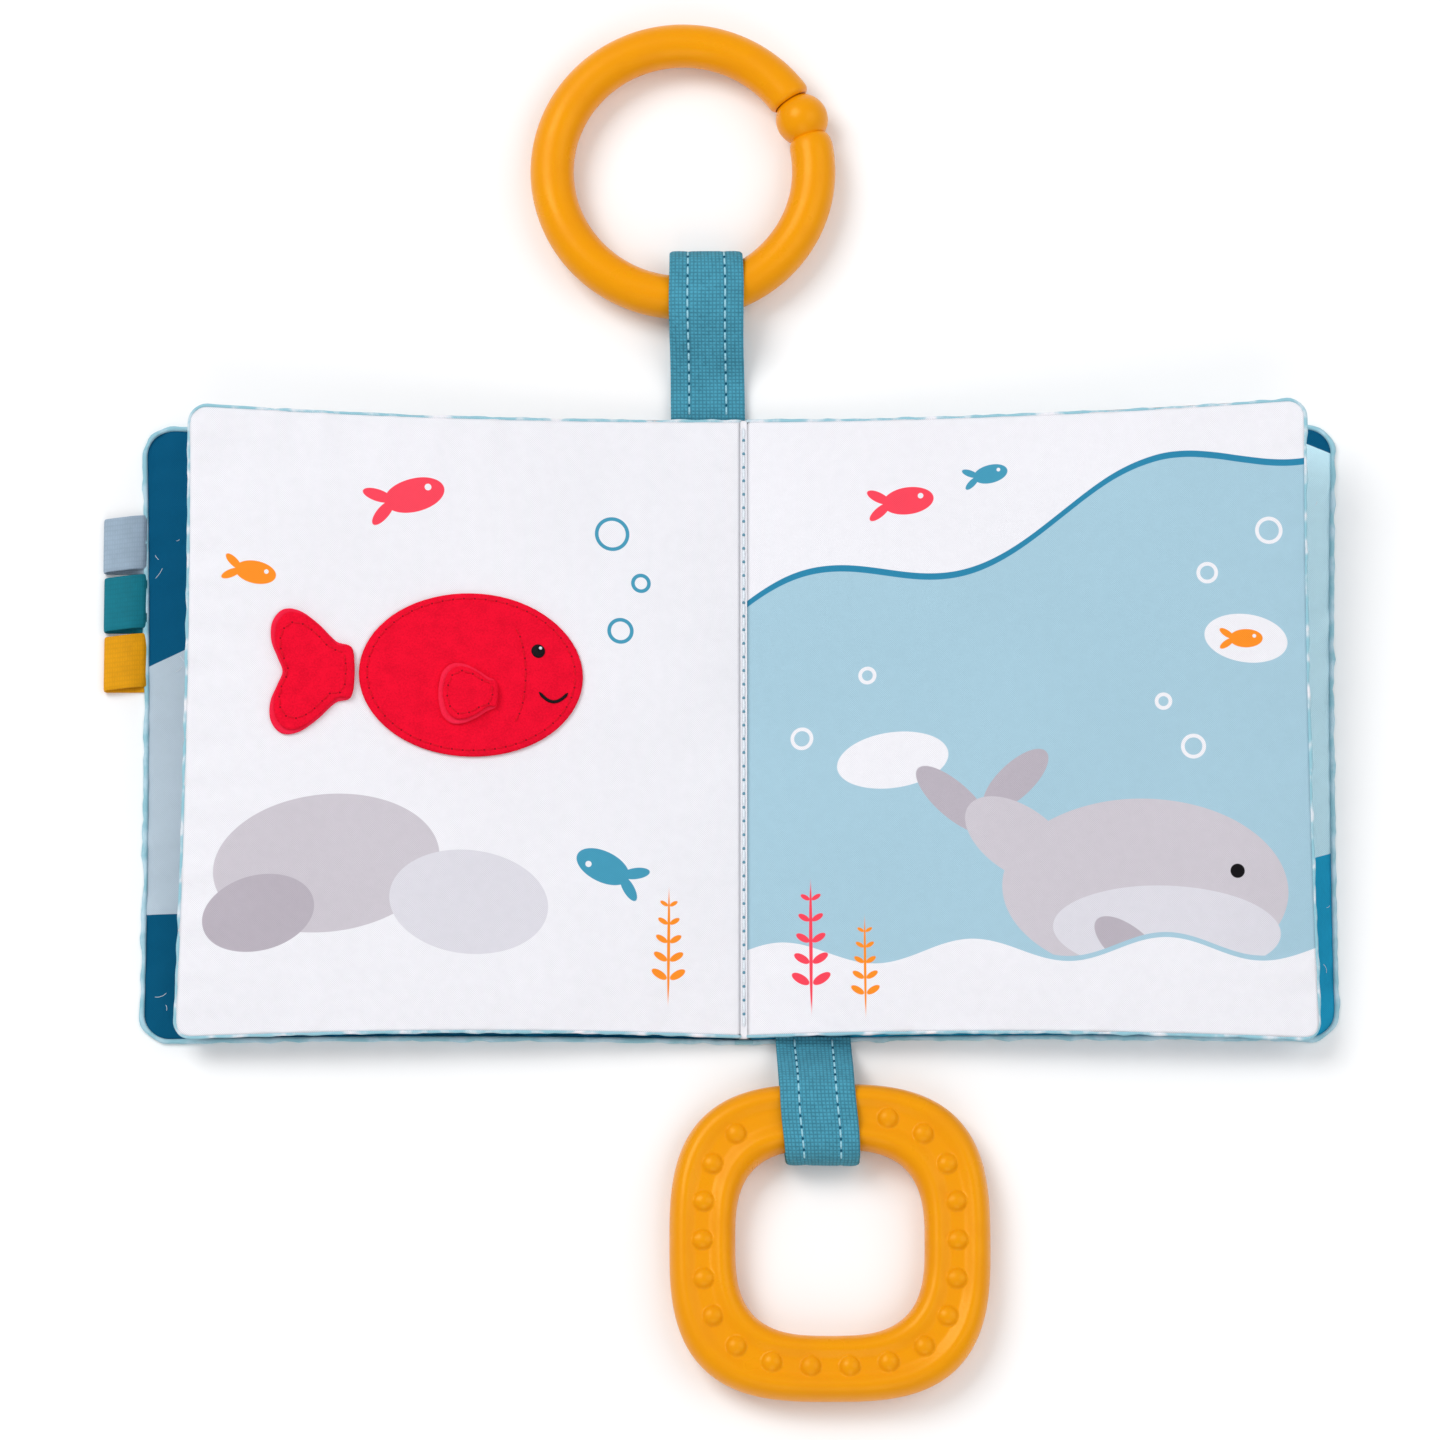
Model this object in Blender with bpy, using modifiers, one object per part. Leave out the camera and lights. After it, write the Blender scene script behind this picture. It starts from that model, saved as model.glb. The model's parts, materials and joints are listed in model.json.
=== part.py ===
"""A padded cloth book with crinkling pages, lying open, with a click ring and a teether.

The spine runs along Y. The ring hangs off the +Y end, the teether off the -Y end, and the
pages face +Z. The origin is the middle of the spine's underside, on the table.
"""

import math

import bmesh
import bpy
from mathutils import Matrix, Vector

# Leaves: the two covers lie on the table, the two pages slope up from the spine
COVER_WIDTH = 0.144
COVER_HEIGHT = 0.152
COVER_CORNER = 0.0065
PAGE_SIDE_MARGIN = 0.007
PAGE_END_MARGIN = 0.0003
PAGE_CORNER = 0.0042
LEAF_THICKNESS = 0.0054
FABRIC = 0.0005
FILM = 0.0002
PIPING_DIAMETER = 0.0013
SIDE_PULL = 0.0012
COVER_EDGE_LIFT = 0.0003
PAGE_SLOPE = math.radians(7)
PAGE_TOP_LIFT = 0.005
PAGE_FOOT_DROP = 0.012
PAGE_BEND_POWER = 2
SPINE_WIDTH = 0.0054
STITCH_PITCH = 0.0034
THREAD = 0.0007

# Clearances
TOUCH_GAP = 0.0003
LEAF_GAP = 0.0006
STRAP_GAP = 0.0004
LOOP_SLACK = 0.0015
WELD_DISTANCE = 0.00001

# Crown of a leaf: how late it flattens, how round its shoulder is, and where the filling ends
CROWN_POWER = 3
CROWN_ROUNDNESS = 0.8
FILLING_SHARE = 0.8
RIM_SHARE = 0.998
PANEL_CELLS = (12, 10)
FILLING_CELLS = (5, 4)

# Straps and their loops, of one ribbon
STRAP_WIDTH = 0.018
STRAP_LAYER = 0.001
STRAP_SEWN = 0.0022
LOOP_FLOOR = 0.00005
LOOP_NECK = 0.0066
SEAM_ROW_INSET = 0.0045
STRAP_STITCH_PITCH = 0.0028
STITCH_INSET_SHARE = 0.25
LOOP_FALL_SHARES = (0.36, 0.72)
LOOP_STEPS = 8
TOP_STRAP_X = -0.0098
BOTTOM_STRAP_X = 0.0174

# Click ring: a split ring with a ball on one end and a seat for it in the other
RING_X = -0.0148
RING_START = 0.02495
RING_DIAMETER = 0.0745
RING_TUBE = 0.0106
BALL_DIAMETER = 0.0128
BALL_ANGLE = math.radians(24.4)
RING_TIP_ANGLE = math.radians(16)
RING_SEAT_ANGLE = math.radians(33.5)
SEAT_GAP = 0.00035
RING_SHOULDER_SHARE = 0.2
TIP_TAPER_SHARES = (0.94, 0.8)
RING_STEPS = 36

# Teether: a rounded square of one section, with nubs on its track
TEETHER_X = 0.0204
TEETHER_START = 0.0124
TEETHER_SIZE = 0.0764
TEETHER_CORNER = 0.027
TEETHER_ARM = 0.0157
TEETHER_THICKNESS = 0.010
TEETHER_SLIDE = 0.004
NUB_DIAMETER = 0.0046
NUB_RISE = 0.0011
NUB_PITCH = 0.0095
NUB_CLEARANCE = 0.0004
TEETHER_SHOULDER_SHARE = 0.04
TRACK_SHARE = 0.84
TRACK_SECTION_SHARES = (
    (-1, 0.4),
    (-0.86, 0.86),
    (-0.62, 1),
    (-0.44, TRACK_SHARE),
    (0.44, TRACK_SHARE),
    (0.62, 1),
    (0.86, 0.86),
    (1, 0.4),
)

# Ribbon tags in the front cover's outer edge, from top to bottom
TAG_WIDTH = 0.0134
TAG_LENGTH = 0.0098
TAG_LAYER = 0.0006
TAG_OPENING = 0.0012
TAG_TOP_Y = 0.0452
TAG_PITCH = 0.0147
TAG_STEPS = 6
TAG_NAMES = ("ribbon_tag_grey", "ribbon_tag_teal", "ribbon_tag_mustard")

# Felt figure on the left page: a fish that faces the spine, its details placed from its middle
FISH_MARGIN = 0.0225
FISH_Y = 0.010
FISH_LENGTH = 0.054
FISH_HEIGHT = 0.040
FELT_EDGE = 0.0008
FISH_CROWN = 0.0012
FELT_RING_SHARES = (0.8, 0.5)
FLAP_LAYER = 0.0007
FLAP_MARGIN = 0.001
FIN_ROOT_SHARE = 0.4
FIN_TIP_SHARE = 0.25
FIN_STEPS = 8
SIDE_FIN_AHEAD = 0.006
SIDE_FIN_DROP = 0.005
SIDE_FIN_LENGTH = 0.014
SIDE_FIN_HEIGHT = 0.015
TAIL_GAP = 0.0015
TAIL_LENGTH = 0.020
TAIL_HEIGHT = 0.030
EYE_AHEAD = 0.016
EYE_RISE = 0.006
EYE_DIAMETER = 0.0034
EYE_SIDES = 10
MOUTH_AHEAD = 0.0198
MOUTH_DROP = 0.004
MOUTH_WIDTH = 0.007
MOUTH_DEPTH = 0.0023
MOUTH_STEPS = 6

# Colours as the photo shows them: red, green, blue, roughness
COLOURS = {
    "white_cloth": (0.86, 0.86, 0.89, 0.9),
    "navy_cloth": (0.01, 0.10, 0.24, 0.85),
    "sky_cloth": (0.35, 0.62, 0.78, 0.85),
    "grey_blue_cloth": (0.50, 0.60, 0.70, 0.85),
    "teal_edge": (0.38, 0.66, 0.70, 0.8),
    "sky_edge": (0.45, 0.72, 0.86, 0.8),
    "wadding": (0.93, 0.93, 0.91, 1.0),
    "film": (0.80, 0.82, 0.84, 0.3),
    "thread": (0.72, 0.84, 0.92, 0.7),
    "teal_ribbon": (0.07, 0.30, 0.44, 0.8),
    "grey_ribbon": (0.35, 0.45, 0.55, 0.6),
    "green_ribbon": (0.01, 0.20, 0.26, 0.6),
    "mustard_ribbon": (0.75, 0.34, 0.01, 0.6),
    "mustard_plastic": (0.87, 0.35, 0.005, 0.3),
    "red_felt": (0.87, 0.01, 0.04, 0.95),
    "light_red_felt": (0.92, 0.04, 0.09, 0.95),
    "black_thread": (0.01, 0.01, 0.012, 0.6),
}

PAGE_WIDTH = COVER_WIDTH - PAGE_SIDE_MARGIN
PAGE_HEIGHT = COVER_HEIGHT - 2 * PAGE_END_MARGIN
LEAF_START = SPINE_WIDTH / 2 + TOUCH_GAP
SEAM_THICKNESS = 2 * FABRIC + TOUCH_GAP
PIPING_RADIUS = PIPING_DIAMETER / 2
PAGE_DROP = LEAF_THICKNESS / 2 + TOUCH_GAP / 2
STRAP_START = COVER_HEIGHT / 2 + STRAP_GAP
RING_Y = COVER_HEIGHT / 2 + RING_START + RING_DIAMETER / 2
TEETHER_Y = -COVER_HEIGHT / 2 - TEETHER_START - TEETHER_SIZE / 2
RING_RADIUS = (RING_DIAMETER - RING_TUBE) / 2
TAIL_X = PAGE_WIDTH - FISH_MARGIN - TAIL_LENGTH
FISH_X = TAIL_X - TAIL_GAP - FISH_LENGTH / 2
CURVE_STEPS = 24
SHARP_ANGLE = math.radians(40)
UNTURNED = (0, 0, 0)


def clear_scene():
    for obj in list(bpy.data.objects):
        bpy.data.objects.remove(obj)


def new_collection(name, hidden=False):
    collection = bpy.data.collections.new(name)
    bpy.context.scene.collection.children.link(collection)
    collection.hide_render = hidden
    return collection


def new_material(name):
    red, green, blue, roughness = COLOURS[name]
    material = bpy.data.materials.new(name)
    material.use_nodes = True
    shader = material.node_tree.nodes["Principled BSDF"]
    shader.inputs["Base Color"].default_value = (red, green, blue, 1)
    shader.inputs["Roughness"].default_value = roughness
    shader.inputs["Metallic"].default_value = 0
    material.diffuse_color = (red, green, blue, 1)
    return material


clear_scene()
PARTS = new_collection("crinkle_cloth_book")
GUIDES = new_collection("guides", hidden=True)
MATERIALS = {name: new_material(name) for name in COLOURS}


def add_object(name, data, material, parent):
    """One sub-part, in its parent's frame."""
    obj = bpy.data.objects.new(name, data)
    PARTS.objects.link(obj)
    data.materials.append(MATERIALS[material])
    obj.parent = parent
    if isinstance(data, bpy.types.Mesh):
        data.shade_smooth()
        data.set_sharp_from_angle(angle=SHARP_ANGLE)
    return obj


def add_guide(name, data):
    obj = bpy.data.objects.new(name, data)
    GUIDES.objects.link(obj)
    obj.hide_render = True
    obj.display_type = "WIRE"
    return obj


def add_frame(name, location, turn, parent):
    """An empty on a joint's axis, which carries the pieces that move with it."""
    frame = bpy.data.objects.new(name, None)
    PARTS.objects.link(frame)
    frame.location = location
    frame.rotation_euler = turn
    frame.parent = parent
    return frame


def mesh_of(bm, name):
    bmesh.ops.recalc_face_normals(bm, faces=bm.faces[:])
    mesh = bpy.data.meshes.new(name)
    bm.to_mesh(mesh)
    bm.free()
    return mesh


def slab(name, cells, place, material, parent):
    """A closed layer over a square of cells: place(u, v, level) gives each corner's point."""
    bm = bmesh.new()
    bmesh.ops.create_grid(bm, x_segments=cells[0], y_segments=cells[1], size=1)
    made = bmesh.ops.extrude_face_region(bm, geom=bm.faces[:])["geom"]
    upper = [item for item in made if isinstance(item, bmesh.types.BMVert)]
    bmesh.ops.translate(bm, verts=upper, vec=(0, 0, 1))
    for vert in bm.verts:
        vert.co = place(*vert.co)
    return add_object(name, mesh_of(bm, name), material, parent)


def spline_curve(name, points, radius, sides, closed=False, radii=None):
    """A tube along points; sides is its bevel resolution."""
    curve = bpy.data.curves.new(name, "CURVE")
    curve.dimensions = "3D"
    curve.bevel_depth = radius
    curve.bevel_resolution = sides
    curve.use_fill_caps = not closed
    spline = curve.splines.new("POLY")
    spline.points.add(len(points) - 1)
    for index, point in enumerate(points):
        spline.points[index].co = (*point, 1)
        spline.points[index].radius = radii[index] if radii else 1
    spline.use_cyclic_u = closed
    return curve


def mesh_from_curve(name, curve):
    """The curve's tube as one closed mesh."""
    guide = add_guide(name + "_guide", curve)
    bpy.context.view_layer.update()
    graph = bpy.context.evaluated_depsgraph_get()
    mesh = bpy.data.meshes.new_from_object(guide.evaluated_get(graph))
    bm = bmesh.new()
    bm.from_mesh(mesh)
    bmesh.ops.remove_doubles(bm, verts=bm.verts[:], dist=WELD_DISTANCE)
    bpy.data.meshes.remove(mesh)
    bpy.data.objects.remove(guide)
    return mesh_of(bm, name)


def boolean(obj, cutter, operation):
    modifier = obj.modifiers.new(cutter.name, "BOOLEAN")
    modifier.object = cutter
    modifier.operation = operation
    modifier.solver = "EXACT"


class Leaf:
    """One padded leaf, in the frame of its hinge: side is -1 on the left and 1 on the right."""

    def __init__(self, name, side, width, height, corner, on_table):
        self.name = name
        self.side = side
        self.start = LEAF_START
        self.end = width - PIPING_DIAMETER - TOUCH_GAP
        self.half_width = (self.end - self.start) / 2
        self.half_height = height / 2 - PIPING_DIAMETER - TOUCH_GAP
        self.corner = corner
        self.on_table = on_table

    def plan(self, u, v):
        """Where a share of the leaf's width and height lies, with drawn-in sides and round corners."""
        x = u * self.half_width - SIDE_PULL * max(u, 0) * (1 - v * v)
        y = abs(v) * (self.half_height - SIDE_PULL * (1 - u * u))
        along = (x - self.half_width + self.corner) / self.corner
        across = (y - self.half_height + self.corner) / self.corner
        if along > 0 and across > 0:
            x = self.half_width - self.corner * (1 - along * math.sqrt(1 - across**2 / 2))
            y = self.half_height - self.corner * (1 - across * math.sqrt(1 - along**2 / 2))
        return self.side * (self.start + self.half_width + x), math.copysign(y, v)

    def share(self, distance):
        """The share of the width at a distance from the spine's middle."""
        return (distance - self.start) / self.half_width - 1

    def thickness(self, u, v):
        crown = max(0, (1 - abs(u) ** CROWN_POWER) * (1 - abs(v) ** CROWN_POWER))
        return SEAM_THICKNESS + (LEAF_THICKNESS - SEAM_THICKNESS) * crown**CROWN_ROUNDNESS

    def bend(self, u, v):
        """How far a page's free edge stands off its plane: up at the top, down at the foot."""
        reach = max(0, (1 + u) / 2) ** PAGE_BEND_POWER
        return reach * (PAGE_TOP_LIFT * (1 + v) - PAGE_FOOT_DROP * (1 - v)) / 2

    def low(self, u, v):
        """Height of the underside: flat on the table, or half the thickness below a page's middle."""
        if not self.on_table:
            return self.bend(u, v) - PAGE_DROP - self.thickness(u, v) / 2
        at_rim = max(abs(u), abs(v)) > RIM_SHARE
        return -HINGE_HEIGHT + (COVER_EDGE_LIFT if at_rim else 0)

    def high(self, u, v):
        if not self.on_table:
            return self.bend(u, v) - PAGE_DROP + self.thickness(u, v) / 2
        crown = (self.thickness(u, v) - SEAM_THICKNESS) / (LEAF_THICKNESS - SEAM_THICKNESS)
        return -HINGE_HEIGHT + self.thickness(u, v) + COVER_EDGE_LIFT * (1 - crown)

    def top_at(self, x, y):
        """Height of the leaf's upper face at a place in its hinge's frame."""
        u = self.share(abs(x))
        v = y / self.half_height
        return self.high(u, v)


def page_lift():
    """Height of the page's hinge at which the sloping pages just clear the covers."""
    cover = Leaf("", 1, COVER_WIDTH, COVER_HEIGHT, COVER_CORNER, False)
    page = Leaf("", 1, PAGE_WIDTH, PAGE_HEIGHT, PAGE_CORNER, False)
    lift = 0
    for step in range(CURVE_STEPS * 2):
        distance = page.start + page.half_width * step / CURVE_STEPS
        under_page = PAGE_DROP + page.thickness(page.share(distance), 0) / 2
        over_cover = cover.thickness(cover.share(distance), 0) + COVER_EDGE_LIFT
        needed = over_cover + under_page * math.cos(PAGE_SLOPE) - distance * math.sin(PAGE_SLOPE)
        lift = max(lift, needed)
    return lift + LEAF_GAP


HINGE_HEIGHT = page_lift()


def eased(share):
    """Moves grid lines towards the edges, where a leaf curves most."""
    return math.sin(share * math.pi / 2)


def build_leaf(leaf, parent, low_cloth, high_cloth, edge):
    """The two fabric panels, the wadding, the crinkle film and the edge of one leaf."""

    def layer(name, low, high, material, cells, share=1):
        def place(u, v, level):
            u = eased(u) * share
            v = eased(v) * share
            x, y = leaf.plan(u, v)
            return x, y, (high if level > 0 else low)(u, v)

        slab(leaf.name + name, cells, place, material, parent)

    def over(low_or_high, rise):
        return lambda u, v: low_or_high(u, v) + rise

    film_top = over(leaf.high, -FABRIC - TOUCH_GAP)
    layer("_lower_fabric", leaf.low, over(leaf.low, FABRIC), low_cloth, PANEL_CELLS)
    layer("_upper_fabric", over(leaf.high, -FABRIC), leaf.high, high_cloth, PANEL_CELLS)
    layer(
        "_wadding",
        over(leaf.low, FABRIC + TOUCH_GAP),
        over(film_top, -FILM - TOUCH_GAP),
        "wadding",
        FILLING_CELLS,
        FILLING_SHARE,
    )
    layer("_crinkle_film", over(film_top, -FILM), film_top, "film", FILLING_CELLS, FILLING_SHARE)
    points = edge_points(leaf)
    add_object(leaf.name + "_edge", spline_curve(leaf.name, points, PIPING_RADIUS, 1), edge, parent)


def edge_points(leaf):
    """The edge cord's path: round three sides, outside the panels' rims."""
    columns, rows = PANEL_CELLS
    along = [(eased(2 * index / columns - 1), 1) for index in range(columns + 1)]
    down = [(1, -eased(2 * index / rows - 1)) for index in range(1, rows + 1)]
    back = [(u, -1) for u, _ in reversed(along[:-1])]
    shares = along + down + back
    rim = [leaf.plan(u, v) for u, v in shares]
    offset = PIPING_RADIUS + TOUCH_GAP
    points = []
    for index, (x, y) in enumerate(rim):
        height = (leaf.low(*shares[index]) + leaf.high(*shares[index])) / 2
        before = rim[max(index - 1, 0)]
        after = rim[min(index + 1, len(rim) - 1)]
        run = math.hypot(after[0] - before[0], after[1] - before[1])
        out_x = leaf.side * (before[1] - after[1]) / run
        out_y = leaf.side * (after[0] - before[0]) / run
        points.append((x + out_x * offset, y + out_y * offset, height))
    return points


def add_thread(name, corners, pitch, material, parent):
    """One unbroken sewing thread along straight runs: it lies up on each stitch and dips between."""
    points = [(*corners[0], 0)]
    for start, end in zip(corners, corners[1:]):
        count = max(1, round(math.dist(start, end) / pitch))
        for step in range(2 * count):
            share = (step + 1) / (2 * count)
            x, y, z = (a + (b - a) * share for a, b in zip(start, end))
            points.append((x, y, z, THREAD / 2 * (1 - step % 2)))
    path = [(x, y, z + rise) for x, y, z, rise in points]
    curve = spline_curve(name, path, THREAD / 2, 0)
    return add_object(name, curve, material, parent)


def build_spine(root):
    """The core that the leaves are sewn to, and the row of thread along it."""
    seam_middle = HINGE_HEIGHT - PAGE_DROP
    top = seam_middle + SEAM_THICKNESS / 2
    half = PAGE_HEIGHT / 2 - TOUCH_GAP

    def place(u, v, level):
        return u * SPINE_WIDTH / 2, v * half, top * level

    slab("spine_core", (1, 1), place, "navy_cloth", root)
    height = top + TOUCH_GAP + THREAD / 2
    run = ((0, half, height), (0, -half, height))
    add_thread("spine_stitching", run, STITCH_PITCH, "thread", root)


def ribbon(name, path, width, thickness, material, parent):
    """A ribbon as wide as width along X, whose middle follows path in the YZ plane."""
    bm = bmesh.new()
    verts = [bm.verts.new((-width / 2, y, z)) for y, z in path]
    edges = [bm.edges.new(pair) for pair in zip(verts, verts[1:])]
    made = bmesh.ops.extrude_edge_only(bm, edges=edges)["geom"]
    moved = [item for item in made if isinstance(item, bmesh.types.BMVert)]
    bmesh.ops.translate(bm, verts=moved, vec=(width, 0, 0))
    obj = add_object(name, mesh_of(bm, name), material, parent)
    solid = obj.modifiers.new("thickness", "SOLIDIFY")
    solid.thickness = thickness
    solid.offset = 0
    solid.use_even_offset = True
    return obj


def loop_path(near, far, top, shoulder):
    """Middle of a loop's ribbon, from its neck, under the arm at near..far, and back over it."""
    low = LOOP_FLOOR + STRAP_LAYER / 2
    high = top + TOUCH_GAP + STRAP_LAYER / 2
    neck = near - LOOP_NECK + STRAP_LAYER / 2
    radius = (high - low) / 2
    end = far + LOOP_SLACK - (radius - STRAP_LAYER / 2)
    neck_low = STRAP_GAP + STRAP_LAYER / 2
    neck_high = STRAP_GAP + STRAP_SEWN - STRAP_LAYER / 2
    path = [(neck, neck_low), (near - STRAP_SEWN, low), (near + shoulder, low)]
    for step in range(LOOP_STEPS + 1):
        angle = math.pi * (step / LOOP_STEPS - 0.5)
        path.append((end + radius * math.cos(angle), low + radius * (1 + math.sin(angle))))
    start = near + shoulder
    path.append((start, high))
    for share in LOOP_FALL_SHARES:
        path.append((start + (neck - start) * share, high + (neck_high - high) * share))
    path.append((neck, neck_high))
    return path


def build_strap(name, x, direction, near, far, top, shoulder, cover):
    """A strap that leaves the book along direction, with its thread and its loop.

    It returns the frame at the loop's neck, which carries what the loop holds.
    """
    neck = near - LOOP_NECK
    height = STRAP_GAP + STRAP_SEWN
    place = (x, direction * STRAP_START, height - HINGE_HEIGHT)
    swing = add_frame(name + "_frame", place, UNTURNED, cover)
    length = neck - TOUCH_GAP - STRAP_START
    path = [(direction * length * share, -STRAP_SEWN / 2) for share in (0, 1)]
    ribbon(name, path, STRAP_WIDTH, STRAP_SEWN, "teal_ribbon", swing)
    row = STRAP_WIDTH / 2 - SEAM_ROW_INSET
    over = TOUCH_GAP + THREAD / 2
    inset = min(STRAP_STITCH_PITCH, length * STITCH_INSET_SHARE)
    near_end = direction * inset
    far_end = direction * (length - inset)
    run = ((-row, near_end, over), (-row, far_end, over), (row, far_end, over), (row, near_end, over))
    add_thread(name + "_stitching", run, STRAP_STITCH_PITCH, "thread", swing)
    place = (0, direction * (neck - STRAP_START), 0)
    bend = add_frame(name + "_loop_frame", place, UNTURNED, swing)
    path = [
        (direction * (y - neck), z - height) for y, z in loop_path(near, far, top, shoulder)
    ]
    ribbon(name + "_loop", path, STRAP_WIDTH, STRAP_LAYER, "teal_ribbon", bend)
    return bend


def build_click_ring(bend, centre):
    """A split tube ring, a ball on its lower end, and the ball's seat in its upper end."""
    span = 2 * math.pi + RING_TIP_ANGLE - RING_SEAT_ANGLE
    points = []
    for step in range(RING_STEPS + 1):
        angle = RING_SEAT_ANGLE + span * step / RING_STEPS
        points.append((RING_RADIUS * math.cos(angle), RING_RADIUS * math.sin(angle), 0))
    radii = [1] * (RING_STEPS + 1 - len(TIP_TAPER_SHARES)) + list(TIP_TAPER_SHARES)
    mesh = mesh_from_curve("click_ring", spline_curve("ring", points, RING_TUBE / 2, 4, radii=radii))
    ring = add_object("click_ring", mesh, "mustard_plastic", bend)
    ring.location = centre
    seat = ball_mesh("ring_seat", BALL_DIAMETER / 2 + SEAT_GAP, half=True)
    ball = ball_mesh("ring_ball", BALL_DIAMETER / 2)
    for mesh, operation in ((seat, "DIFFERENCE"), (ball, "UNION")):
        cutter = add_guide(mesh.name, mesh)
        cutter.parent = ring
        boolean(ring, cutter, operation)


def ball_mesh(name, radius, half=False):
    """The ball in the ring's gap, or only the half of it that faces the upper arm."""
    centre = Vector((RING_RADIUS * math.cos(BALL_ANGLE), RING_RADIUS * math.sin(BALL_ANGLE), 0))
    along = Vector((-math.sin(BALL_ANGLE), math.cos(BALL_ANGLE), 0))
    bm = bmesh.new()
    bmesh.ops.create_uvsphere(bm, u_segments=18, v_segments=12, radius=radius)
    bmesh.ops.translate(bm, verts=bm.verts[:], vec=centre)
    if half:
        parts = bm.verts[:] + bm.edges[:] + bm.faces[:]
        cut = bmesh.ops.bisect_plane(
            bm, geom=parts, plane_co=centre, plane_no=along, clear_inner=True
        )["geom_cut"]
        edges = [item for item in cut if isinstance(item, bmesh.types.BMEdge)]
        bmesh.ops.contextual_create(bm, geom=edges)
    return mesh_of(bm, name)


def rounded_square(half, corner, steps):
    """Points round a square with round corners, anticlockwise from the right side's foot."""
    points = []
    for quarter in range(4):
        turn = quarter * math.pi / 2
        for step in range(steps + 1):
            angle = math.pi / 2 * step / steps
            x = half - corner + corner * math.cos(angle)
            y = half - corner + corner * math.sin(angle)
            points.append(
                (x * math.cos(turn) - y * math.sin(turn), x * math.sin(turn) + y * math.cos(turn))
            )
    return points


def points_at_pitch(path, pitch):
    """Places at even steps along a closed path, with about the given pitch."""
    closed = path + path[:1]
    runs = [math.dist(a, b) for a, b in zip(closed, closed[1:])]
    count = round(sum(runs) / pitch)
    found = []
    travelled = 0
    for run, a, b in zip(runs, closed, closed[1:]):
        while len(found) < count and travelled + run > len(found) * sum(runs) / count:
            share = (len(found) * sum(runs) / count - travelled) / run
            found.append(tuple(p + (q - p) * share for p, q in zip(a, b)))
        travelled += run
    return found


def build_teether(bend, centre):
    """A rounded square ring of one section, with nubs on both faces, clear of the loop."""
    half = (TEETHER_SIZE - TEETHER_ARM) / 2
    corner = TEETHER_CORNER - TEETHER_ARM / 2
    path = rounded_square(half, corner, 6)
    upper = [(x * TEETHER_ARM / 2, y * TEETHER_THICKNESS / 2) for x, y in TRACK_SECTION_SHARES]
    lower = [(x, -y) for x, y in reversed(upper)]
    section = spline_curve("section", [(x, y, 0) for x, y in upper + lower], 0, 0, closed=True)
    sweep = spline_curve("teether", [(x, y, 0) for x, y in path], 0, 0, closed=True)
    sweep.twist_mode = "Z_UP"
    sweep.bevel_mode = "OBJECT"
    sweep.bevel_object = add_guide("teether_section", section)
    teether = add_object("teether", mesh_from_curve("teether", sweep), "mustard_plastic", bend)
    teether.location = centre
    reach = STRAP_WIDTH / 2 + TEETHER_SLIDE + NUB_DIAMETER / 2 + NUB_CLEARANCE
    strap_x = BOTTOM_STRAP_X - TEETHER_X
    track = TEETHER_THICKNESS / 2 * TRACK_SHARE
    bm = bmesh.new()
    for x, y in points_at_pitch(path, NUB_PITCH):
        if y > 0 and abs(x - strap_x) < reach:
            continue
        for face in (-1, 1):
            made = bmesh.ops.create_uvsphere(
                bm, u_segments=8, v_segments=6, radius=NUB_DIAMETER / 2
            )["verts"]
            height = face * (track + NUB_RISE - NUB_DIAMETER / 2)
            bmesh.ops.translate(bm, verts=made, vec=(x, y, height))
    nubs = add_guide("teether_nubs", mesh_of(bm, "teether_nubs"))
    nubs.parent = teether
    boolean(teether, nubs, "UNION")


def teether_far_edge():
    """How far the arm reaches into the hole where the loop may slide to."""
    hole_corner = TEETHER_CORNER - TEETHER_ARM
    straight = TEETHER_SIZE / 2 - TEETHER_CORNER
    reach = abs(BOTTOM_STRAP_X - TEETHER_X) + STRAP_WIDTH / 2 + TEETHER_SLIDE
    past = min(max(reach - straight, 0), hole_corner)
    bulge = hole_corner - math.sqrt(hole_corner**2 - past**2)
    return -TEETHER_Y - TEETHER_SIZE / 2 + TEETHER_ARM + bulge


def build_straps(front_cover, back_cover):
    """Both straps, the ring and the teether."""
    arm_floor = LOOP_FLOOR + STRAP_LAYER + TOUCH_GAP
    neck_height = STRAP_GAP + STRAP_SEWN
    inner = RING_RADIUS - RING_TUBE / 2
    off_centre = abs(TOP_STRAP_X - RING_X) + STRAP_WIDTH / 2
    far = RING_Y - math.sqrt(inner**2 - off_centre**2)
    near = RING_Y - RING_DIAMETER / 2
    top = arm_floor + RING_TUBE
    shoulder = RING_TUBE * RING_SHOULDER_SHARE
    bend = build_strap("top_strap", TOP_STRAP_X, 1, near, far, top, shoulder, front_cover)
    drop = arm_floor + RING_TUBE / 2 - neck_height
    build_click_ring(bend, (RING_X - TOP_STRAP_X, RING_Y - (near - LOOP_NECK), drop))
    near = -TEETHER_Y - TEETHER_SIZE / 2
    far = teether_far_edge()
    top = arm_floor + TEETHER_THICKNESS
    shoulder = TEETHER_ARM * TEETHER_SHOULDER_SHARE
    bend = build_strap("bottom_strap", BOTTOM_STRAP_X, -1, near, far, top, shoulder, back_cover)
    drop = arm_floor + TEETHER_THICKNESS / 2 - neck_height
    build_teether(bend, (TEETHER_X - BOTTOM_STRAP_X, TEETHER_Y + near - LOOP_NECK, drop))


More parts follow.
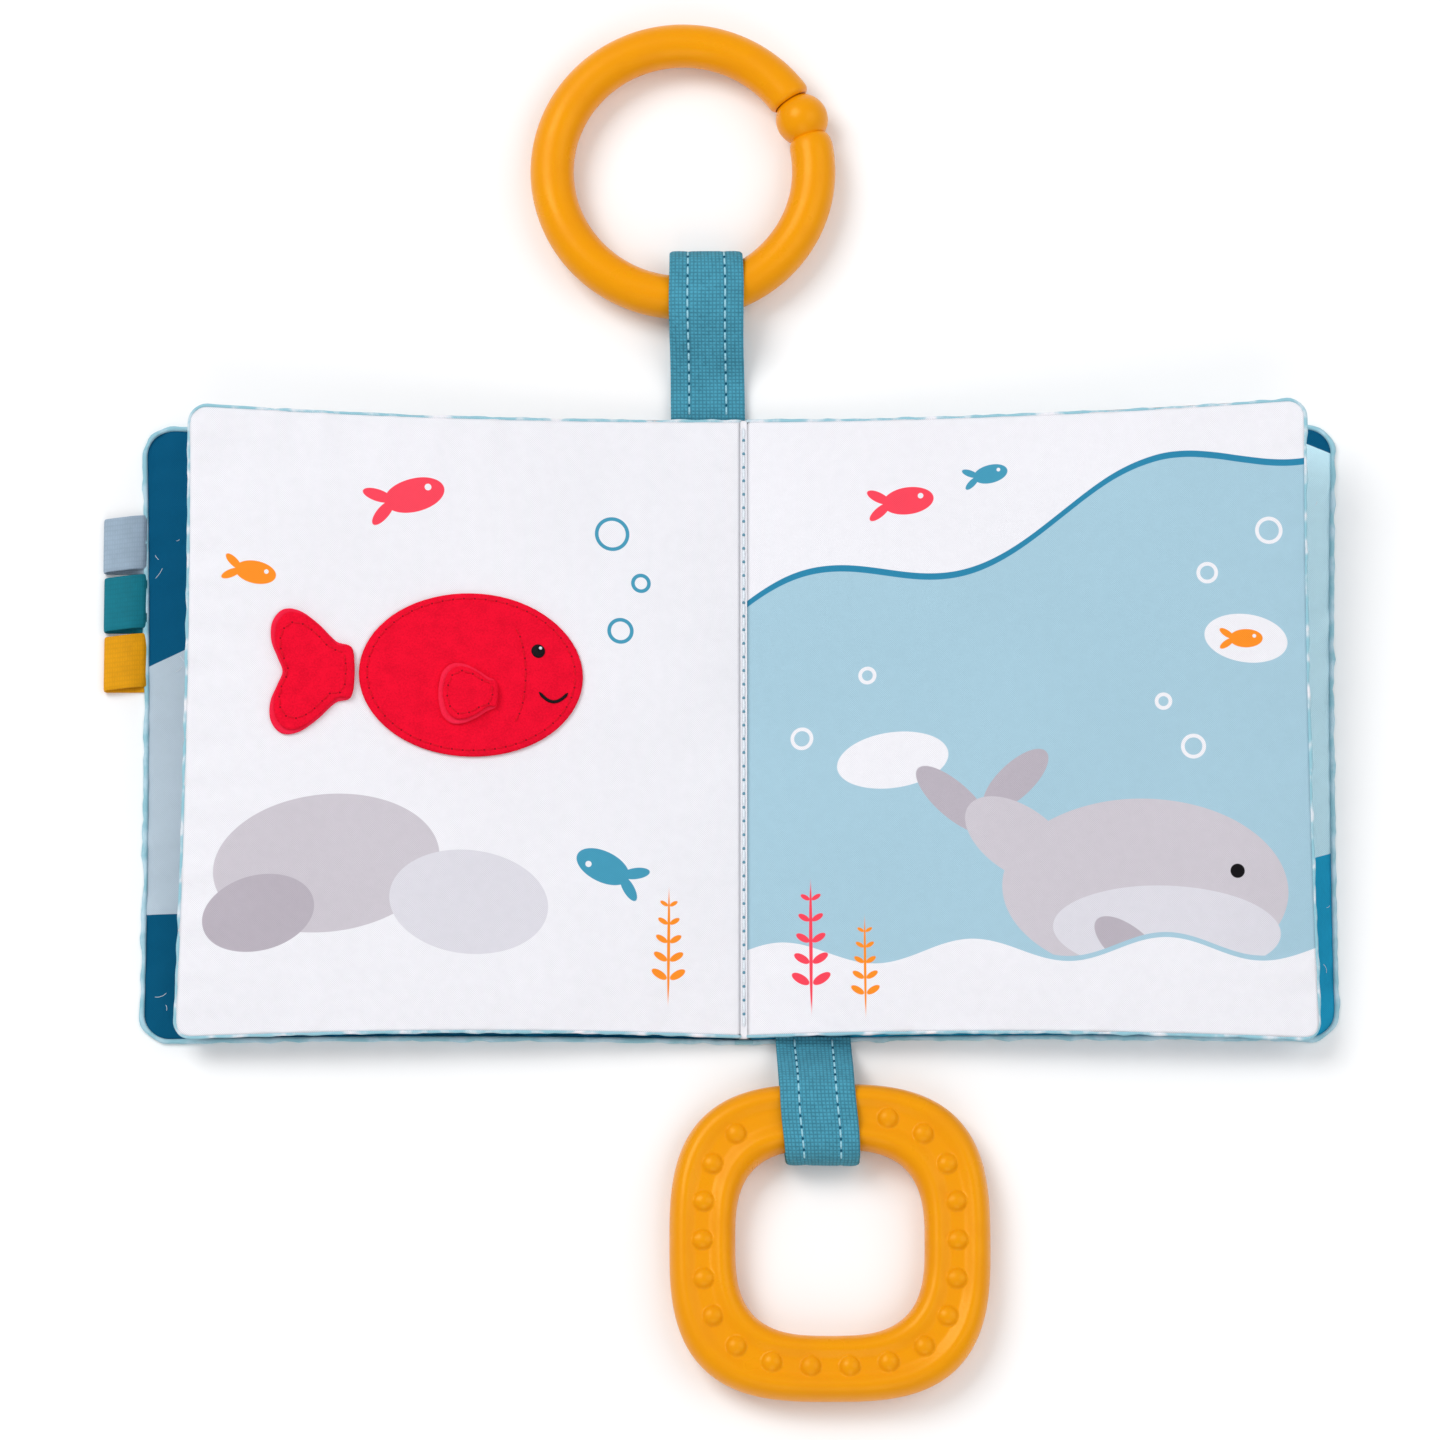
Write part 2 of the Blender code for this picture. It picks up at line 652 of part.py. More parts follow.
def build_tags(leaf, front_cover):
    """Three folded ribbons in the front cover's outer edge."""
    materials = ("grey_ribbon", "green_ribbon", "mustard_ribbon")
    radius = (TAG_OPENING + TAG_LAYER) / 2
    height = LOOP_FLOOR + 2 * TAG_LAYER + TAG_OPENING
    drop = -radius - TAG_LAYER / 2
    straight = TAG_LENGTH - radius - TAG_LAYER / 2
    path = [(0, drop - radius), (straight, drop - radius)]
    for step in range(1, TAG_STEPS + 1):
        angle = math.pi * (step / TAG_STEPS - 0.5)
        path.append((straight + radius * math.cos(angle), drop + radius * math.sin(angle)))
    path.append((0, drop + radius))
    for index, name in enumerate(TAG_NAMES):
        y = TAG_TOP_Y - index * TAG_PITCH
        ends = (y - TAG_WIDTH / 2, y + TAG_WIDTH / 2)
        rim = min(leaf.plan(1, end / leaf.half_height)[0] for end in ends)
        place = (rim - PIPING_DIAMETER - 2 * TOUCH_GAP, y, height - HINGE_HEIGHT)
        frame = add_frame(name + "_frame", place, (0, 0, math.pi / 2), front_cover)
        ribbon(name, path, TAG_WIDTH, TAG_LAYER, materials[index], frame)


def felt_shape(name, leaf, outline, base, edge, crown, material, parent, about=UNTURNED):
    """A felt piece that follows the page: outline is a closed list of points round its middle.

    base is the height of its underside over the page, edge its thickness at the rim, and crown
    how much thicker its middle is.
    """
    middle_x = sum(x for x, _ in outline) / len(outline)
    middle_y = sum(y for _, y in outline) / len(outline)
    bm = bmesh.new()

    def ring(share, rise):
        made = []
        for x, y in outline:
            x = middle_x + (x - middle_x) * share
            y = middle_y + (y - middle_y) * share
            z = leaf.top_at(x, y) + base + rise
            made.append(bm.verts.new((x - about[0], y - about[1], z - about[2])))
        return made

    rings = [ring(FELT_RING_SHARES[-1], 0), ring(1, 0), ring(1, edge)]
    rings += [ring(share, edge + crown * (1 - share**2)) for share in FELT_RING_SHARES]
    for inner, outer in zip(rings, rings[1:]):
        for index in range(len(outline)):
            after = (index + 1) % len(outline)
            bm.faces.new((inner[index], inner[after], outer[after], outer[index]))
    for end in (rings[0], rings[-1]):
        bm.faces.new(end)
    return add_object(name, mesh_of(bm, name), material, parent)


def oval(centre, length, height, steps=CURVE_STEPS):
    points = []
    for step in range(steps):
        angle = 2 * math.pi * step / steps
        points.append(
            (centre[0] + length / 2 * math.cos(angle), centre[1] + height / 2 * math.sin(angle))
        )
    return points


def fin_outline(root_x, middle_y, length, height, margin):
    """A fin that starts at root_x and widens away from the spine, with a round free end."""
    root = height * FIN_ROOT_SHARE / 2 - margin
    tip = height * FIN_TIP_SHARE
    points = [(root_x, middle_y + root), (root_x, middle_y - root)]
    for step in range(FIN_STEPS + 1):
        angle = math.pi * (step / FIN_STEPS - 0.5)
        x = root_x - (length - tip) - (tip - margin) * math.cos(angle)
        points.append((x, middle_y + (height / 2 - margin) * math.sin(angle)))
    return points


def build_fish(leaf, page):
    """The felt fish: a padded body with eye and mouth, and two flaps of two layers each."""
    body = oval((-FISH_X, FISH_Y), FISH_LENGTH, FISH_HEIGHT)
    felt_shape("fish_body", leaf, body, TOUCH_GAP, FELT_EDGE, FISH_CROWN, "red_felt", page)
    body_top = TOUCH_GAP + FELT_EDGE + FISH_CROWN
    eye_place = (EYE_AHEAD - FISH_X, FISH_Y + EYE_RISE)
    eye = oval(eye_place, EYE_DIAMETER, EYE_DIAMETER, EYE_SIDES)
    felt_shape("fish_eye", leaf, eye, body_top, FLAP_LAYER, TOUCH_GAP, "black_thread", page)
    mouth = []
    for step in range(MOUTH_STEPS + 1):
        share = 2 * step / MOUTH_STEPS - 1
        x = MOUTH_AHEAD - FISH_X + share * MOUTH_WIDTH / 2
        y = FISH_Y - MOUTH_DROP - MOUTH_DEPTH * (1 - share * share)
        mouth.append((x, y, leaf.top_at(x, y) + body_top + THREAD / 2))
    curve = spline_curve("fish_mouth_stitching", mouth, THREAD / 2, 1)
    add_object("fish_mouth_stitching", curve, "black_thread", page)
    side_fin_place = (SIDE_FIN_AHEAD - FISH_X, FISH_Y - SIDE_FIN_DROP)
    flaps = (
        ("side_fin", side_fin_place, SIDE_FIN_LENGTH, SIDE_FIN_HEIGHT, body_top),
        ("tail_fin", (-TAIL_X, FISH_Y), TAIL_LENGTH, TAIL_HEIGHT, 0),
    )
    for name, (x, y), length, height, base in flaps:
        top = base + 2 * (TOUCH_GAP + FLAP_LAYER)
        pivot = (x, y, leaf.top_at(x, y) + top)
        frame = add_frame(name + "_frame", pivot, UNTURNED, page)
        base += TOUCH_GAP
        under = fin_outline(x, y, length, height, 0)
        felt_shape(
            name + "_under_felt", leaf, under, base, FLAP_LAYER, 0, "light_red_felt", frame, pivot
        )
        base += FLAP_LAYER + TOUCH_GAP
        upper = fin_outline(x, y, length - FLAP_MARGIN, height, FLAP_MARGIN / 2)
        felt_shape(name + "_upper_felt", leaf, upper, base, FLAP_LAYER, 0, "red_felt", frame, pivot)


def build_book():
    hinge = (0, 0, HINGE_HEIGHT)
    root = add_frame("back_cover_frame", hinge, UNTURNED, None)
    front = add_frame("front_cover_frame", hinge, UNTURNED, None)
    left = add_frame("left_page_frame", UNTURNED, (0, PAGE_SLOPE, 0), front)
    right = add_frame("right_page_frame", UNTURNED, (0, -PAGE_SLOPE, 0), root)
    back_leaf = Leaf("back_cover", 1, COVER_WIDTH, COVER_HEIGHT, COVER_CORNER, True)
    front_leaf = Leaf("front_cover", -1, COVER_WIDTH, COVER_HEIGHT, COVER_CORNER, True)
    left_leaf = Leaf("left_page", -1, PAGE_WIDTH, PAGE_HEIGHT, PAGE_CORNER, False)
    right_leaf = Leaf("right_page", 1, PAGE_WIDTH, PAGE_HEIGHT, PAGE_CORNER, False)
    build_leaf(back_leaf, root, "navy_cloth", "sky_cloth", "sky_edge")
    build_leaf(front_leaf, front, "navy_cloth", "grey_blue_cloth", "teal_edge")
    build_leaf(left_leaf, left, "white_cloth", "white_cloth", "teal_edge")
    build_leaf(right_leaf, right, "white_cloth", "white_cloth", "teal_edge")
    build_spine(None)
    build_fish(left_leaf, left)
    build_tags(front_leaf, front)
    build_straps(front, root)


build_book()
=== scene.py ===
"""The looks of an open padded cloth book with a click ring and a teether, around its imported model.

The spine runs along Y, the ring hangs off the +Y end, and the pages face +Z.
"""

import json
import math
from functools import cached_property

import bmesh
import bpy
import numpy as np
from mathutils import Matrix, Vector, noise
from mathutils.bvhtree import BVHTree


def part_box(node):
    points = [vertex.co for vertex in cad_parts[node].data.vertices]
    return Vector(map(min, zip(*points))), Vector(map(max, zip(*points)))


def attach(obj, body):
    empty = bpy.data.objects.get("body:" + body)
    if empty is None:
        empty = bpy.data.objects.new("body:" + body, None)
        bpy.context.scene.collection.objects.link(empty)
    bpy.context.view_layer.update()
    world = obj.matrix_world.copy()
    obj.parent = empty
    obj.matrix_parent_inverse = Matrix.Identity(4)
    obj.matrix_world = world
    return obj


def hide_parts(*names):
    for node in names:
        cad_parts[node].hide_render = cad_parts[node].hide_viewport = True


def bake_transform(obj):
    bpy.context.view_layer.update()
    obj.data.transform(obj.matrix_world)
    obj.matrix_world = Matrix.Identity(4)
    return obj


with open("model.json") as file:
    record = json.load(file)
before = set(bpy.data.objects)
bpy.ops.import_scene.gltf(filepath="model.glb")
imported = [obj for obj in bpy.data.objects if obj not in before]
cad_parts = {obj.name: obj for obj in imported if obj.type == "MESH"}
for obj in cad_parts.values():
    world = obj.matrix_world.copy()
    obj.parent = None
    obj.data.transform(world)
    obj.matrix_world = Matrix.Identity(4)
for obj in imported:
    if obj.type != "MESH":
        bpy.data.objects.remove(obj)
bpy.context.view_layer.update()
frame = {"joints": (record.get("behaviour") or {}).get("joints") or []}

# Camera, fitted to places measured in the photograph
CAMERA_ELEVATION = math.radians(77.2)
CAMERA_DISTANCE = 2.2
CAMERA_TARGET = (-0.00574, 0.0023, 0)
CAMERA_LENS = 227.55
CAMERA_SENSOR = 36
CAMERA_CLIP = 20

# Studio: the lights are name, place, size and power
WORLD_COLOUR = (0.97, 0.98, 1, 1)
WORLD_STRENGTH = 0.5
LIGHTS = (
    ("key", (-0.9, 0.7, 1.5), 1, 17.5),
    ("fill", (1.1, 0.2, 1.4), 1.3, 7),
    ("front", (0.1, -1.3, 1.2), 1.1, 5.5),
)
FLOOR_COLOUR = (0.97, 0.97, 0.97, 1)
FLOOR_HALF = 3

# Leaves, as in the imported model: in the frame of the hinge, with the pages sloping up
PAGE_SLOPE = math.radians(7)
PAGE_DROP = 0.00285
PAGE_TOP_LIFT = 0.005
PAGE_FOOT_DROP = 0.012
LEAF_THICKNESS = 0.0054
COVER_HEIGHT = 0.1528
PAGE_HEIGHT = 0.1528
SIDE_PULL = 0.0009
PAGE_START = 0.0003
RIM_INSET = 0.0004

# Side, start, width, height, corner, whether it lies on the table, and the slots of its cloth and edge
COVER = (0.0012, 0.1448, COVER_HEIGHT, 0.0072, True)
PAGE = (PAGE_START, 0.137, PAGE_HEIGHT, 0.0048, False)
LEAVES = {
    "front_cover": (-1, *COVER, "grey_blue_cloth", "teal_edge"),
    "back_cover": (1, *COVER, "sky_cloth", "sky_edge"),
    "left_page": (-1, *PAGE, "white_cloth", "teal_edge"),
    "right_page": (1, *PAGE, "white_cloth", "teal_edge"),
}

# How far out and up each corner of a leaf lies from its rectangle: at the spine's foot and head, then outside
CORNER_SHIFTS = {
    "front_cover": ((0, -0.0011), (0, -0.0002), (0.0001, -0.0011), (0.0014, -0.0012)),
    "back_cover": ((0, -0.0011), (0, -0.0002), (-0.0021, -0.0005), (-0.0008, -0.0006)),
    "left_page": ((0, -0.0006), (0, 0), (-0.0011, -0.0019), (-0.0016, -0.0014)),
    "right_page": ((0, -0.0006), (0, 0), (0.0005, -0.0022), (0, 0)),
}

# Rolled edges
TRIM_RADIUS = 0.0004
COVER_TRIM_RADIUS = 0.00062
TRIM_SIDES = 8
TRIM_ROUGH_SCALE = 260
TRIM_ROUGH_SHARE = 0.45
TRIM_WANDER_SHARE = 0.5
PAGE_TRIM_DROP = 0.4
PAGE_TRIM_INSET = 0.0002
TRIM_PATCH = 0.007
TRIM_HEAD_TEAL = -0.1
TRIM_FOOT_TEAL = 0.28
COVER_EDGE_LIFT = 0.0003
COVER_FLOOR = 0.00005

# Cloth simulation of a leaf, run ten times as large as life, and how its result is laid in place
SIM_SCALE = 10
SIM_FRAMES = 22
GRID_STEP = 0.0016
CROWN_REACH = 0.014
SEWN_HALF = 0.0006
PUCKER_SCALE = 160
PUCKER_SHARE = 0.5
PUCKER_REACH = 0.01
CLOTH = {
    "quality": 5,
    "mass": 0.2,
    "tension_stiffness": 25,
    "compression_stiffness": 25,
    "shear_stiffness": 12,
    "bending_stiffness": 0.15,
    "use_pressure": True,
    "uniform_pressure_force": 6,
    "vertex_group_mass": "rim",
    "vertex_group_shrink": "slack",
    "shrink_min": 0,
    "shrink_max": -0.06,
}
MAX_DRIFT = 0.0012
PLATEAU_POWER = 1.9
DENT_SCALE = 45
DENT_SHARE = 0.2
FOLD_SCALE = 170
FOLD_STRETCH = 0.2
FOLD_START = 0.0015
FOLD_REACH = 0.011
FOLD_HEIGHT = 0.0013
FOLD_KEEP_SHARE = 0.35
SPINE_CALM = 0.012
SPINE_FOLD_SHARE = 0.15
TINY = 1e-9

# Stitches: a thread's thickness along it, and needle holes as shares of its radius
STITCH_SHARES = np.array([0, 0.04, 0.14, 0.5, 0.86, 0.96, 1])
STITCH_RADII = np.array([0.25, 0.7, 1, 1.05, 1, 0.7, 0.25])
STITCH_SIDES = 6
HOLE_LENGTH_SHARE = 1.1
HOLE_WIDTH_SHARE = 1.2
HOLE_SINK_SHARE = 0.9

# Weaves: pitch and depth, how much of them is slub, and how deep the shade between their threads is
COTTON = (0.0005, 0.00006)
TRIM_WEAVE = (0.0006, 0.00008)
SLUB_SHARE = 0.3
WEAVE_SHADE = 0.88
TWIST = (9000, 4000)

# Shine of cloth and plastic; at 0.5 a surface reflects as common glass does
SPECULAR = 0.1
PLASTIC_SPECULAR = 0.4
PLASTIC_SHINE = (1, 0.74, 0.3, 1)
PLASTIC_GLOW = (0.004, 0.002, 0.0005)

# Spine: the row of stitches and the cloth it goes through
STITCH_PITCH = 0.0034
STITCH_POINTS = 90
THREAD_RADIUS = 0.00029
THREAD_SINK = 0.0003
SPINE_DASH = 0.8
BAND_HALF = 0.0013
BAND_COLUMNS = 13
PAGE_BAND_HALF = 0.0008
PAGE_BAND_FOOT = 0.0009
BAND_THICK = 0.0004
BAND_DIP = 0.0002
BAND_WAVE = (1.2, 0.4)
BAND_VALLEY = 0.0006
BAND_STEP = 0.0008
COVER_BAND_Z = 0.0006
COVER_BAND_THICK = 0.001
SPINE_TRIM_HALF = 0.0022

# Felt fish, on the left page
FELT_GAP = 0.0002
FELT_THICK = 0.0009
FELT_FUZZ = 0.00012
FUZZ_SCALE = 900
FELT_SINK = 0.0001
FELT_STITCH = 0.0026
FELT_DASH = 0.66
FELT_THREAD = 0.0002
FELT_THREAD_SINK = 0.00025
FELT_SIDE = ((0.04, 0), (0.5, 0), (0.9, 0), (0.985, 0.05), (1, 0.3), (1, 0.6), (0.985, 0.88))
FELT_TOP_SHARES = (0.95, 0.87, 0.75, 0.6, 0.45, 0.3, 0.15, 0.04)
FELT_PROFILE = (*FELT_SIDE, *((share, 1) for share in FELT_TOP_SHARES))
FISH_CENTRE = (-0.066, 0.01)
FISH_LENGTH = 0.054
FISH_HEIGHT = 0.04
FISH_CROWN = 0.0012
STITCH_RIM_SHARE = 0.93
GILL_OUT = 0.0085
GILL_RADII = (0.0045, 0.013)
GILL_TURN = 1.15
FLAP_THICK = 0.0007
FLAP_CROWN = 0.0002
FLAP_MARGIN = 0.001
FLAP_RIM_SHARE = 0.82
OUTLINE_STEPS = 6

# Flaps: root, length, height, and the outline's shares from the root's top to the middle of the end
SIDE_SHARES = ((0, 0.36), (0.16, 0.56), (0.36, 0.8), (0.58, 0.97), (0.78, 0.96), (0.93, 0.7), (0.99, 0.3), (1, 0))
TAIL_SHARES = (
    (0, 0.36), (0.2, 0.5), (0.42, 0.78), (0.64, 0.98), (0.84, 1), (0.97, 0.8), (0.98, 0.5), (0.9, 0.22), (0.84, 0)
)
FLAPS = {
    "side_fin": ((-0.06, 0.005), 0.014, 0.015, SIDE_SHARES),
    "tail_fin": ((-0.0945, 0.01), 0.02, 0.03, TAIL_SHARES),
}

# The fish's eye and smile
EYE_RISE = 0.0007
EYE_SHARES = (1, 0.97, 0.86, 0.66, 0.4, 0.12)
EYES = (
    ("fish_embroidered_eye", (-0.05, 0.016), 0.0017, 0, "black_thread", ("fish_eye",)),
    ("fish_eye_glint", (-0.0495, 0.0166), 0.0004, EYE_RISE, "thread", ()),
)
MOUTH_CENTRE = (-0.0462, 0.006)
MOUTH_WIDTH = 0.007
MOUTH_DEPTH = 0.0023
MOUTH_THREAD = 0.0004
MOUTH_TAPER = 0.08
MOUTH_POINTS = 25

# Folded tags in the front cover's outer seam, with the slot and the colour of each
TAGS = {
    "grey_tag": ("ribbon_tag_grey", "grey_ribbon", (160, 180, 198)),
    "teal_tag": ("ribbon_tag_teal", "green_ribbon", (20, 122, 140)),
    "mustard_tag": ("ribbon_tag_mustard", "mustard_ribbon", (232, 160, 12)),
}
TAG_WIDTH = 0.0134
TAG_LENGTH = 0.0113
TAG_ROOT = -0.0012
TAG_ROOT_HALF = 0.0002
TAG_RISE = 0.0012
TAG_SEAM_DROP = 0.0004
TAG_MIDDLE = 0.00125
TAG_FOLD = 0.0009
TAG_THICK = 0.00055
TAG_OPEN_SHARE = 0.22
TAG_SLANT = 0.0013
TAG_NECK_SHARE = 0.3
FOLD_TURN = 0.3

# A ribbon's section, in shares of its half width: where its hem and stitched groove lie and how far they reach
RIBBON_SHARES = np.array([-1, -0.985, -0.93, -0.8, -0.6, -0.5, -0.4, 0, 0.4, 0.5, 0.6, 0.8, 0.93, 0.985, 1])
RIBBON_EDGE_POWER = 24
HEM_PLACE, HEM_REACH = 0.78, 0.16
GROOVE_PLACE, GROOVE_REACH, GROOVE_SHARE = 0.5, 0.05, 0.12

# Ribbon weaves: ribs across and along, depth, shade between the ribs, and roughness
TAG_WEAVE = (0.0012, 0.0006, 0.00004, 0.88, 0.6)
STRAP_WEAVE = (0.0009, 0.0009, 0.00016, 0.58, 0.8)

# Straps
STRAP_WIDTH = 0.018
STRAP_THICK = 0.00095
STRAP_HEM = 0.00006
STRAP_TUCK = 0.0004
STRAP_UPPER_Z = 0.0021
STRAP_LOWER_Z = 0.0009
STRAP_FLOOR = 0.0001
STRAP_UNDER_TOP = 0.0013
STRAP_ROW = 0.0045
STRAP_PITCH = 0.0028
STRAP_DASH = 0.7
STRAP_THREAD = 0.00024
NECK_BEND = 0.003
STRAP_CORNER = 0.0016
STRAP_PIVOT_SHARE = 0.4
STRAP_WAVE = 0.0002
STRAP_WAVES = 9
STRAP_WAVE_SHIFT = 0.8
STRAP_SEWN = slice(1, 34)
WRINKLE_SCALE = 160

# Each strap's loop joint, what it is sewn in, what it holds and its direction along Y; then where its loop starts
# to rise, lies on the arm and ends, with the arm's top; then its shift, slant and wrinkles
TOP_STRAP = ("top_loop_bend", "front_cover_padded", "split_click_ring", 1)
TOP_STRAP_PLACE = (0.0835, 0.104, 0.1173, 0.01195, 0.0009, -0.0006, 0.0002)
BOTTOM_STRAP = ("bottom_loop_bend", "back_cover_padded", "nubbed_teether", -1)
BOTTOM_STRAP_PLACE = (0.0772, 0.0905, 0.1075, 0.0115, 0, 0.0022, 0.0009)

# Loose ends of thread on the covers: place, direction, length and curl
LINT_RADIUS = 0.00006
LINT = {
    "front_cover": (
        (-0.1416, 0.0384, 1, 0.003, 0.25), (-0.1424, 0.0425, -0.9, 0.0014, 0.3), (-0.1372, 0.0466, 0.4, 0.0008, 0.45),
        (-0.1364, 0.0142, 0.7, 0.0022, 0.35), (-0.1358, 0.017, 2.2, 0.0016, 0.3),
        (-0.1398, -0.066, 0.3, 0.003, 0.5), (-0.1384, -0.0688, 1.7, 0.0014, 0.4),
    ),
    "back_cover": (
        (0.1398, -0.059, 1.9, 0.0022, 0.55), (0.1406, -0.044, 0.6, 0.001, 0.45), (0.1392, 0.056, 1.2, 0.0012, 0.4),
    ),
}

# Click ring
RING_RADIUS = 0.03195
RING_TUBE = 0.0106
RING_STEPS = 140
RING_SIDES = 40
RING_TIP = math.radians(16)
RING_TIP_ROUND = 0.0012
RING_TIP_FALL = 0.003
RING_SHOULDER = 0.0017
RING_DOME = 0.0034
RING_DOME_FALL = 0.0014
RING_SEAT = math.radians(33.5)
RING_SHARP = math.radians(50)
BALL_RADIUS = 0.0064
BALL_ANGLE = math.radians(24.4)
BALL_POLE = 0.02
SEAT_GAP = 0.00035

# Teether
TEETHER_SIZE = 0.0764
TEETHER_POWER = 2.95
TEETHER_HOLE_POWER = 3.0
TEETHER_ARM = 0.0157
TEETHER_THICK = 0.01
TEETHER_STEPS = 544
RIM_START = 0.56
TRACK_FALL_SHARE = 0.4
TRACK_DEPTH_SHARE = 0.19
NUB_PITCH = 0.0095
NUB_RADIUS = 0.0024
NUB_RISE = 0.0014
NUB_POWER = 1.8
NUB_KEEP_CLEAR = 0.0067

# Colours of the photograph, as screen values from 0 to 255
WHITE = (241, 240, 245)
LILAC = (206, 200, 208)
LILAC_DARK = (186, 178, 188)
LILAC_PALE = (222, 220, 228)
PALE_BLUE = (168, 203, 219)
CORAL = (252, 72, 92)
ORANGE = (255, 146, 40)
MID_BLUE = (70, 155, 185)
LINE_BLUE = (45, 135, 172)
NAVY = (0, 88, 126)
DEEP_TEAL = (0, 88, 124)
GREY_BLUE = (190, 206, 218)
SKY = (208, 244, 255)
SEA = (36, 164, 206)
TRIM_TEAL = (150, 200, 214)
TRIM_SKY = (190, 220, 233)
STRAP_TEAL = (80, 164, 190)
THREAD_WHITE = (232, 240, 246)
MUSTARD = (238, 154, 0)
MUSTARD_DEEP = (226, 138, 0)
RED = (246, 12, 48)
RED_LIGHT = (246, 40, 74)
RED_DARK = (196, 4, 34)
BLACK = (18, 16, 20)

# Thread of each kind of sewing, and the dark colour of its needle holes: painted shade in the holes
SEWING = {
    "spine_sewing": ((230, 238, 244), (104, 152, 172)),
    "strap_sewing": ((158, 212, 228), (18, 84, 110)),
    "felt_sewing": ((222, 8, 40), (150, 2, 26)),
}


def printed_fish(x, y, size, tone, turn=0.0):
    """Ovals of a small printed fish that swims towards turn."""
    along, across = (math.cos(turn), math.sin(turn)), (-math.sin(turn), math.cos(turn))

    def at(a, b):
        return x + (along[0] * a + across[0] * b) * size, y + (along[1] * a + across[1] * b) * size

    tail = 0.5 * size, 0.2 * size
    return (
        (at(0, 0), (size, 0.55 * size), turn, tone),
        (at(-1.15, 0.3), tail, turn - 0.6, tone),
        (at(-1.15, -0.3), tail, turn + 0.6, tone),
        (at(0.5, 0.14), (0.11 * size, 0.11 * size), 0.0, WHITE),
    )


def printed_weed(x, y, height, tone):
    """Ovals of an upright stalk with leaves in pairs."""
    found = [((x, y + height / 2), (height * 0.014, height / 2), 0.0, tone)]
    for step in range(5):
        rise = height * (0.2 + 0.17 * step)
        size = height * (0.1 - 0.012 * step)
        for side in (-1, 1):
            centre = (x + side * size * 0.85, y + rise + size * 0.4)
            found.append((centre, (size * 0.8, size * 0.36), side * 0.55, tone))
    return found


# Prints, in metres on the flat leaves: centre, radii, turn and tone of each oval, or centre and radius
PRINT_EDGE = 0.00006
BUBBLE_LINE = 0.0009
PEBBLES = (
    ((-0.1, -0.036), (0.027, 0.0165), 0.12, LILAC),
    ((-0.066, -0.045), (0.019, 0.0125), -0.1, LILAC_PALE),
    ((-0.116, -0.048), (0.0135, 0.009), 0.25, LILAC_DARK),
)
LEFT_BUBBLES = (((-0.03, 0.022), 0.0032), ((-0.025, 0.034), 0.0024), ((-0.032, 0.046), 0.0042))
LEFT_MOTIFS = (
    *printed_fish(-0.08, 0.054, 0.0075, CORAL, 0.3),
    *printed_fish(-0.118, 0.034, 0.005, ORANGE, -0.2),
    *printed_fish(-0.034, -0.036, 0.0068, MID_BLUE, 2.7),
    *printed_weed(-0.018, -0.068, 0.026, ORANGE),
)
CLOUDS_AND_WHALE = (
    ((0.036, -0.01), (0.0135, 0.0068), 0.12, WHITE),
    ((0.121, 0.018), (0.01, 0.0058), -0.15, WHITE),
    ((0.0505, -0.02), (0.0115, 0.0042), -0.75, LILAC_DARK),
    ((0.0655, -0.0155), (0.01, 0.0042), 0.75, LILAC_DARK),
    ((0.066, -0.03), (0.0145, 0.008), -0.62, LILAC),
    ((0.096, -0.042), (0.034, 0.0215), -0.04, LILAC),
    ((0.101, -0.052), (0.027, 0.0105), -0.04, LILAC_PALE),
    ((0.092, -0.056), (0.01, 0.0045), -0.7, LILAC_DARK),
    ((0.118, -0.038), (0.0017, 0.0017), 0.0, BLACK),
)
RIGHT_MOTIFS = (
    *printed_fish(0.04, 0.054, 0.0062, CORAL, 0.1),
    *printed_fish(0.06, 0.06, 0.0042, MID_BLUE, 0.2),
    *printed_fish(0.121, 0.018, 0.004, ORANGE),
    *printed_weed(0.016, -0.07, 0.03, CORAL),
    *printed_weed(0.029, -0.071, 0.022, ORANGE),
)
RIGHT_BUBBLES = (
    ((0.108, -0.008), 0.003), ((0.101, 0.003), 0.0021), ((0.112, 0.034), 0.0026),
    ((0.127, 0.044), 0.0033), ((0.03, 0.011), 0.0022), ((0.014, -0.004), 0.0028),
)

# Printed lines: height, slope, and the swing, length and phase of a wave
SHORE = (0.026, 0.3, 0.0065, 0.085, 0.6)
SHORE_LINE = 0.0016
WATER = (-0.056, 0.0, 0.0028, 0.046, 0.4)
WATER_LINE = 0.0012
FRONT_LINES = ((0.0786, 0.44), (-0.046,))
BACK_LINES = ((0.1257, -0.4), (-0.0746, 0.31))


def pivot(key, value):
    """Where the joint with this name or child turns."""
    return next(j for j in frame["joints"] if j[key] == value)["pos_m"]


HINGE = Vector(pivot("name", "front_cover_fold"))


def linear(colour):
    """A screen colour as a linear one with alpha."""
    shares = [value / 255 for value in colour]
    return (*[s / 12.92 if s <= 0.04045 else ((s + 0.055) / 1.055) ** 2.4 for s in shares], 1)


# Stage and node materials


def add_object(name, data):
    """A new object in the scene."""
    made = bpy.data.objects.new(name, data)
    bpy.context.scene.collection.objects.link(made)
    return made


